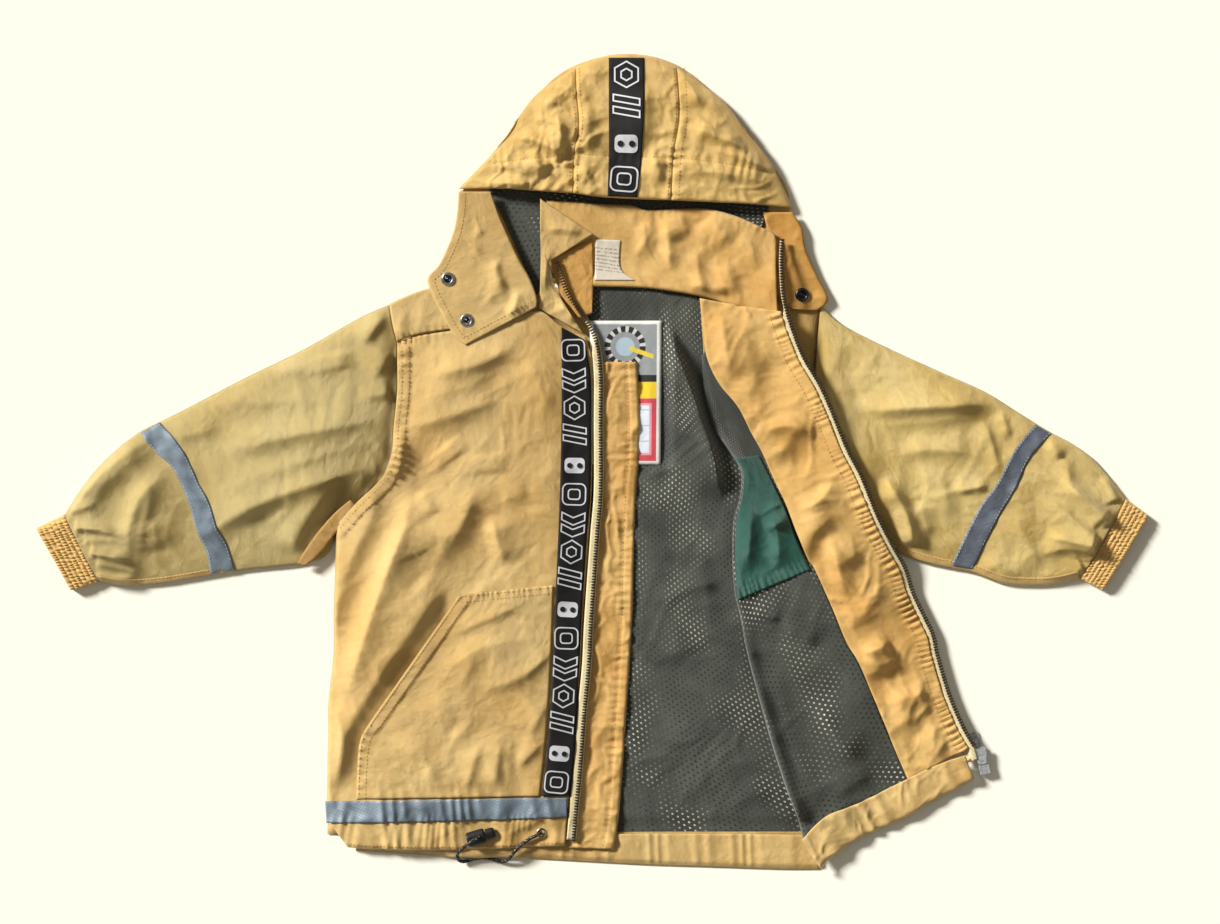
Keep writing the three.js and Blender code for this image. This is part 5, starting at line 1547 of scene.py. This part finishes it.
def zip_pieces():
    right_line = smooth_line(RIGHT_TEETH)
    cloth(
        "right_zip_tape",
        strip(right_line, 5.6 - 4.2 * rising(90, 108, right_line[:, 1:]), -2.6),
        lambda x, y: right_zip_face(x, y) - 3.5 * rising(96, 110, y), ZIP_TAPE_CREAM, "zip_tape", ["zip_tape_right"],
        ["wind_placket"], thick=0.7, spacing=1.6,
    )
    teeth("right_zip_chain", right_line, right_zip_face, TEETH_DARK, ["zip_teeth_right"])
    left_line = smooth_line(LEFT_ZIP[:-2])
    left_tape = smooth_line(LEFT_ZIP[:-1])
    cloth(
        "left_zip_tape",
        strip(left_tape, 11.4 - 8.4 * rising(114, 130, left_tape[:, 1:]), 1.0),
        left_zip_face, ZIP_TAPE_CREAM, "zip_tape", ["zip_tape_left"], ["left_facing"], thick=0.7, spacing=1.6,
    )
    teeth("left_zip_chain", beside(left_line, 1.2), left_zip_face, TEETH_DARK, ["zip_teeth_left"])


# ------------------------------------------------------------------ hood
HOOD_CENTRE = (22, 215)
HOOD_REACH = (150, 133)
HOOD_RIBBON_MIDDLE = 22
HOOD_RIBBON_REACH = 19  # the hood is smoother this near to the ribbon's middle
HOOD_FOLDS = [
    ([(-5, 304), (-5, 258)], -5.0, 8, 0.35),
    ([(44, 322), (42, 262)], -5.2, 8, -0.35),
    ([(-50, 322), (-22, 310), (-9, 298)], -4.0, 4, 0.3),
    ([(-72, 296), (-46, 300), (-24, 296)], -4.0, 4, 0.3),
    ([(-58, 284), (-40, 284), (-22, 272)], -4.0, 4, 0.3),
    ([(-80, 274), (-56, 270), (-30, 256)], 4.4, 5, 0.4),
    ([(-60, 262), (-48, 250), (-46, 238)], -3.6, 4, 0.3),
    ([(-96, 248), (-70, 246), (-40, 242)], -3.4, 5, 0.3),
    ([(-36, 296), (-34, 270), (-38, 246)], 3.2, 5, -0.3),
    ([(85, 263), (123, 252), (161, 235)], -4.2, 4, 0.3),
    ([(76, 243), (110, 238), (153, 230)], -3.4, 5, 0.3),
    ([(72, 284), (96, 274), (128, 262)], 4.6, 7, 0.45),
    ([(70, 306), (88, 300), (112, 292)], -3.4, 6, 0.3),
    ([(72, 262), (84, 250), (88, 236)], -3.4, 5, 0.3),
    ([(46, 262), (52, 246), (50, 230)], -4.0, 4, 0.3),
    ([(-14, 254), (-8, 240), (0, 228)], -3.2, 4, 0.3),
    ([(66, 330), (78, 316), (84, 296)], 2.4, 7, -0.3),
    ([(-98, 236), (-78, 234), (-56, 234)], 2.6, 4, 0.4),
]
BRIM_STITCH = smooth_line([(-92, 252), (-50, 256), (-20, 259), (20, 257), (62, 256), (100, 252), (146, 244)])


def hood_face(x, y):
    """The hood's upper half: a low dome that stands open along the brim."""
    across = (x - HOOD_CENTRE[0]) / HOOD_REACH[0]
    up = (y - HOOD_CENTRE[1]) / HOOD_REACH[1]
    reach = np.clip(np.hypot(across, up), 0, 1)
    dome = 2.6 + 14 * (1 - reach**3)
    off_ribbon = 1 - 0.75 * np.exp(-(((x - HOOD_RIBBON_MIDDLE) / HOOD_RIBBON_REACH) ** 4))
    creased = 3.0 * crumple(x, y, 27, 101) + 1.8 * crumple(x, y, 15, 107)
    creased = creased * (0.5 + 0.5 * rising(10, -40, x)) * off_ribbon
    shape = folds(x, y, HOOD_FOLDS) + creased + 0.5 * ripple(x, y, 40, 105)
    casing = (puckers(x, y, BRIM_STITCH, 9.0, 0.8, 12, 41) + groove(x, y, BRIM_STITCH, 1.0, 2.2)) * off_ribbon
    seams = sum(
        puckers(x, y, line, 8.5, 0.6, 8, 43) + groove(x, y, line, 0.8, 2.0)
        for line in (HOOD_LEFT_SEAM, HOOD_RIGHT_SEAM)
    )
    edge, _ = from_line(x, y, HOOD_OUTLINE)
    inside = rising(0, 16, np.abs(edge))
    height = dome + SHELL + shape * inside + casing + seams
    return height + rolled(x, y, HOOD_OUTLINE, 5, 2.6) + rolled(x, y, HOOD_BRIM, 4, 1.6)


def hood_pieces():
    panels = [
        ("hood_middle_panel", ["hood_centre"], {
            "left": HOOD_LEFT_SEAM, "right": HOOD_RIGHT_SEAM,
            "top": smooth_line([(-21, 334), (0, 343), (22, 346), (45, 343), (65, 334)]),
            "bottom": smooth_line([(-23, 226), (4, 222.5), (60, 220)]),
        }),
        ("hood_right_panel", ["hood_side_right"], {
            "left": smooth_line([(-76, 278), (-98, 254), (-121, 231)]), "right": HOOD_LEFT_SEAM,
            "top": smooth_line([(-76, 278), (-67, 295), (-51, 314), (-21, 334)]),
            "bottom": smooth_line([(-121, 231), (-82, 230), (-45, 227.5), (-23, 226)]),
        }),
        ("hood_left_panel", ["hood_side_left"], {
            "left": HOOD_RIGHT_SEAM, "right": smooth_line([(124, 279), (142, 257), (153, 236), (164, 214)]),
            "top": smooth_line([(65, 334), (86, 320), (107, 302), (124, 279)]),
            "bottom": smooth_line([(60, 220), (99, 218.5), (139, 216.5), (164, 214)]),
        }),
    ]
    for name, nodes, edges in panels:
        cloth(name, edges, hood_face, HOOD_YELLOW, "shell_cloth", nodes, ["hood_under_panel"], spacing=1.7)
    cloth(
        "hood_woven_ribbon",
        {
            "left": smooth_line([(7, 342), (7, 300), (7, 260), (6, 223.5)]),
            "right": smooth_line([(37, 342), (37, 300), (35, 260), (31, 222.5)]),
        },
        above(hood_face, 1.0), RIBBON_BLACK, "woven_ribbon", ["hood_ribbon"], ["hood_middle_panel"],
        thick=0.5, spacing=1.4,
    )
    cloth(
        "hood_under_panel",
        {
            "left": smooth_line([(-76, 278), (-98, 254), (-117, 228), (-95, 190), (-88, 153)]),
            "right": smooth_line([(124, 279), (142, 257), (160, 226), (155, 185), (145, 150)]),
            "top": smooth_line([(-76, 278), (-51, 314), (-22, 336), (22, 346), (66, 336), (107, 302), (124, 279)]),
            "bottom": smooth_line([(-88, 153), (-40, 152), (20, 150), (90, 150), (145, 150)]),
        },
        bare_floor, HOOD_YELLOW, "shell_cloth", ["hood_back"], spacing=5.0,
    )
    cloth(
        "hood_mesh_lining",
        {
            "left": smooth_line([(-82, 260), (-95, 234), (-80, 200), (-66, 168), (-55, 140)]),
            "right": smooth_line([(118, 260), (140, 232), (143, 215), (141, 205), (134, 190)]),
            "top": smooth_line([(-82, 260), (20, 262), (118, 260)]),
            "bottom": smooth_line([(-55, 140), (-30, 165), (20, 170), (90, 172), (134, 190)]),
        },
        lambda x, y: 3.2 + 0.8 * crumple(x, y, 34, 111) * rising(-58, -70, x), MESH, "mesh_lining", ["hood_lining"],
        ["hood_under_panel"], spacing=2.6,
    )


TAB_RIGHT_OUTER = smooth_line([
    (-120, 228), (-121, 212), (-125, 192), (-136, 167), (-146, 155), (-143, 142), (-133, 122), (-123, 105), (-114, 98),
])
TAB_RIGHT_INNER = smooth_line([(-93, 228), (-86, 208), (-78, 190), (-69, 171), (-60, 155), (-54, 139), (-54, 130)])
TAB_FOOT = np.array([(-114, 98), (-54, 130)])
TAB_FOLDS = [
    ([(-108, 222), (-104, 200), (-96, 184)], 3.0, 6, -0.2),
    ([(-120, 196), (-110, 184), (-96, 172)], 2.6, 7, 0.4),
    ([(-84, 176), (-88, 160), (-80, 142)], 2.6, 6, -0.3),
    ([(-100, 132), (-90, 140), (-74, 146)], 2.0, 8, 0.3),
    ([(-80, 120), (-72, 132), (-70, 148)], 2.6, 5, -0.3),
]


TAB_SNAPS = [((-129, 154), 11), ((-113, 119), 11)]
LEFT_TAB_SNAP = [((171, 141), 11)]


def tab_face(x, y):
    lift = 5 + 4.4 * rising(205, 150, y) + LINING
    calm = calm_round(x, y, TAB_SNAPS)
    foot, _ = from_line(x, y, TAB_FOOT)
    lip = 1.6 * rising(26, 4, np.abs(foot)) * rising(-112, -84, x)
    shape = folds(x, y, TAB_FOLDS) + 0.8 * crumple(x, y, 30, 121)
    rim = puckers(x, y, beside(TAB_RIGHT_OUTER, -6), 6.0, 0.4, 5, 51)
    rim = rim + puckers(x, y, beside(TAB_FOOT, -6), 6.0, 0.5, 5, 52)
    return settled(lift + (shape + rim) * np.clip(calm, 0.05, 1) + lip, front_face(x, y) + 1.9)


def tab_pieces():
    cloth(
        "hood_right_tab", {"left": TAB_RIGHT_OUTER, "right": TAB_RIGHT_INNER, "bottom": TAB_FOOT},
        tab_face, SHELL_YELLOW, "shell_cloth", ["hood_tab_right"], ["right_yoke"], spacing=1.6,
    )
    cloth(
        "hood_left_tab",
        {
            "left": smooth_line([(138, 211), (141, 198), (148, 170), (150, 140), (163, 128.5)]),
            "right": smooth_line([(163, 211), (171, 197), (174, 179), (184, 157), (193, 137), (183, 127.5)]),
        },
        lambda x, y: 4.4 + LINING + 1.2 * crumple(x, y, 26, 131) * calm_round(x, y, LEFT_TAB_SNAP),
        INSIDE_ORANGE, "facing_cloth", ["hood_tab_left"], ["left_sleeve_cloth"], spacing=1.6,
    )


# ------------------------------------------------------------------ woven motifs on the ribbons
STROKE = 1.15
MOTIF_PITCH = 23.5
DOT_PLACES = (-4.2, 4.2)  # across the badge
DOT_RADIUS = 2.3
DOT_LIFT = 0.7  # above the badge


def rounded_frame(across, along, corner):
    """A rounded rectangle, as a flat bmesh about its own centre."""
    bm = bmesh.new()
    bmesh.ops.create_grid(bm, x_segments=1, y_segments=1, size=0.5)
    bmesh.ops.scale(bm, verts=bm.verts, vec=(across, along, 1))
    bmesh.ops.bevel(
        bm, geom=bm.verts, affect="VERTICES", offset=corner, offset_type="OFFSET", segments=4, profile=0.5, material=-1
    )
    return bm


def chevron(across, along, point):
    """A bent bar: its middle runs ahead of its ends."""
    bm = bmesh.new()
    bmesh.ops.create_grid(bm, x_segments=2, y_segments=1, size=0.5)
    bmesh.ops.scale(bm, verts=bm.verts, vec=(across, along, 1))
    bmesh.ops.translate(bm, verts=[v for v in bm.verts if abs(v.co.x) < 0.1], vec=(0, point, 0))
    return bm


def slanted_bar(across, along, slant):
    bm = bmesh.new()
    bmesh.ops.create_grid(bm, x_segments=1, y_segments=1, size=0.5)
    bmesh.ops.scale(bm, verts=bm.verts, vec=(across, along, 1))
    bmesh.ops.translate(bm, verts=[v for v in bm.verts if v.co.x > 0], vec=(0, slant, 0))
    return bm


def ring(radius, sides):
    bm = bmesh.new()
    bmesh.ops.create_circle(bm, cap_ends=True, segments=sides, radius=radius)
    return bm


def outlined(bm):
    """Keeps only a stroke along a flat shape's border."""
    stroke = bmesh.ops.inset_region(bm, faces=bm.faces[:], thickness=STROKE, use_even_offset=True, use_boundary=True)
    inner = [face for face in bm.faces if face not in set(stroke["faces"])]
    bmesh.ops.delete(bm, geom=inner, context="FACES")
    return bm


def plain(across, along):
    """A filled badge, divided so that it follows the ribbon."""
    bm = bmesh.new()
    bmesh.ops.create_grid(bm, x_segments=3, y_segments=2, size=0.5)
    bmesh.ops.scale(bm, verts=bm.verts, vec=(across, along, 1))
    return bm


def shifted(bm, along):
    bmesh.ops.translate(bm, verts=bm.verts, vec=(0, along, 0))
    return bm


def motifs():
    """The repeat: nested frames, paired chevrons, a hexagon, slanted bars, and a badge, as white shapes."""
    return [
        [outlined(rounded_frame(20.5, 19, 5)), outlined(rounded_frame(11, 9.5, 3))],
        [shifted(outlined(chevron(20.5, 7.5, 4.5)), -6), shifted(outlined(chevron(20.5, 7.5, 4.5)), 4)],
        [outlined(ring(10.6, 6)), outlined(ring(5.2, 6))],
        [shifted(outlined(slanted_bar(20.5, 6, 4)), -8.5), shifted(outlined(slanted_bar(20.5, 6, 4)), 0.5)],
        [outlined(rounded_frame(17, 13, 3.5)), plain(15, 11)],
    ]


def motif_row(name, centre, top_face, lift, start=0, scale=1.0):
    """White motifs woven one after another down a ribbon's middle line."""
    whole = bmesh.new()
    dots = bmesh.new()
    run = lengths(centre)[-1]
    count = int(run / MOTIF_PITCH / scale)
    for k in range(count):
        shapes = motifs()
        chosen = (start + k) % len(shapes)
        for shape in shapes[chosen]:
            bmesh.ops.subdivide_edges(shape, edges=shape.edges[:], cuts=3, use_grid_fill=True)
            place_on(whole, shape, centre, (k + 0.5) / count, run, top_face, lift, scale)
        if chosen == len(shapes) - 1:
            for across in DOT_PLACES:
                spot = ring(DOT_RADIUS, 10)
                bmesh.ops.translate(spot, verts=spot.verts, vec=(across, 0, 0))
                place_on(dots, spot, centre, (k + 0.5) / count, run, top_face, lift + DOT_LIFT, scale)
    finished(made_object(name, whole), RIBBON_WHITE)
    finished(made_object(name + "_dots", dots), RIBBON_BLACK)


def place_on(whole, shape, centre, share, run, top_face, lift, scale):
    """Lays a flat shape on a ribbon, its own y down the ribbon, and adds it to the whole."""
    flat = np.array([v.co[:] for v in shape.verts]) * scale
    spot = np.clip(share + flat[:, 1] / run, 0, 1)
    middle = at(centre, spot)
    heading = at(centre, np.clip(spot + 0.01, 0, 1)) - at(centre, np.clip(spot - 0.01, 0, 1))
    heading /= np.linalg.norm(heading, axis=1)[:, None]
    x = middle[:, 0] - heading[:, 1] * flat[:, 0]
    y = middle[:, 1] + heading[:, 0] * flat[:, 0]
    z = top_face(x, y) + lift
    for vertex, px, py, pz in zip(shape.verts, x, y, z):
        vertex.co = placed(px, py, pz)
    bmesh.ops.recalc_face_normals(shape, faces=shape.faces)
    if sum(face.normal.z for face in shape.faces) < 0:
        bmesh.ops.reverse_faces(shape, faces=shape.faces)
    mesh = bpy.data.meshes.new("shape")
    shape.to_mesh(mesh)
    shape.free()
    whole.from_mesh(mesh)
    bpy.data.meshes.remove(mesh)


def woven_motifs():
    front = smooth_line(
        [(-23.5, 106), (-21.8, 34), (-22.8, -44), (-28.3, -135), (-29.3, -165), (-33.5, -233), (-38.5, -284)]
    )
    motif_row("front_ribbon_motifs", front, ribbon_face, 0.3)
    hood = smooth_line([(22, 342), (22, 300), (21.5, 260), (18.7, 223)])
    motif_row("hood_ribbon_motifs", hood, above(hood_face, 1.0), 0.6, start=2, scale=1.15)


# ------------------------------------------------------------------ stitching


def stitching():
    """Rows of stitches: the lines that they run beside, how far off, the face and how far above it."""
    for name, slot, rows in (
        ("front_stitching", "shell_cloth", [
            (FRONT_ARMHOLE, (-4, -10), front_face, 0.0), (YOKE_SEAM, (-4,), front_face, 0.6),
            (HEM_FOOT, (-3,), front_face, 0.4), (POCKET_SLANT, (-2, -9), pocket_face, 0.0),
            (POCKET_SIDE, (-2, -8), pocket_face, 0.0), (POCKET_TOP, (2, 7), pocket_face, 0.0),
        ]),
        ("placket_stitching", "facing_cloth", [(PLACKET_RIGHT, (9,), placket_face, 0.0)]),
        ("facing_stitching", "facing_cloth", [(FACING_STITCH, (0, -8.8), facing_face, 0.0)]),
        ("tab_stitching", "shell_cloth", [(TAB_RIGHT_OUTER, (-6,), tab_face, 0.0), (TAB_FOOT, (-6,), tab_face, 0.0)]),
        ("hood_stitching", "shell_cloth", [
            (BRIM_STITCH, (0,), hood_face, 0.0), (HOOD_LEFT_SEAM, (3, -3), hood_face, 0.0),
            (HOOD_RIGHT_SEAM, (3, -6), hood_face, 0.0),
        ]),
    ):
        stitched = [
            (beside(line, distance), above(face, lift), STITCH_PITCH, STITCH_LENGTH)
            for line, distances, face, lift in rows
            for distance in distances
        ]
        sewn(name, stitched, THREAD_YELLOW)


# ------------------------------------------------------------------ making
camera_and_light()
drawcord()
back_pieces()
label_pieces()
sleeve_pieces()
right_front_pieces()
underarm_fold()
placket_piece()
collar_pieces()
left_front_pieces()
zip_pieces()
hood_pieces()
tab_pieces()
woven_motifs()
stitching()
for node in ("zip_slider", "zip_pull", "zip_box"):
    repaint(node, SILVER)
repaint("eyelet", STEEL)
for node in ("cord_lock", "cord_lock_button"):
    repaint(node, BLACK_PLASTIC)
snap("snap_right_upper", STEEL, GUNMETAL)
snap("snap_right_lower", STEEL, GUNMETAL)
snap("snap_left", GUNMETAL, BLACK_PLASTIC)
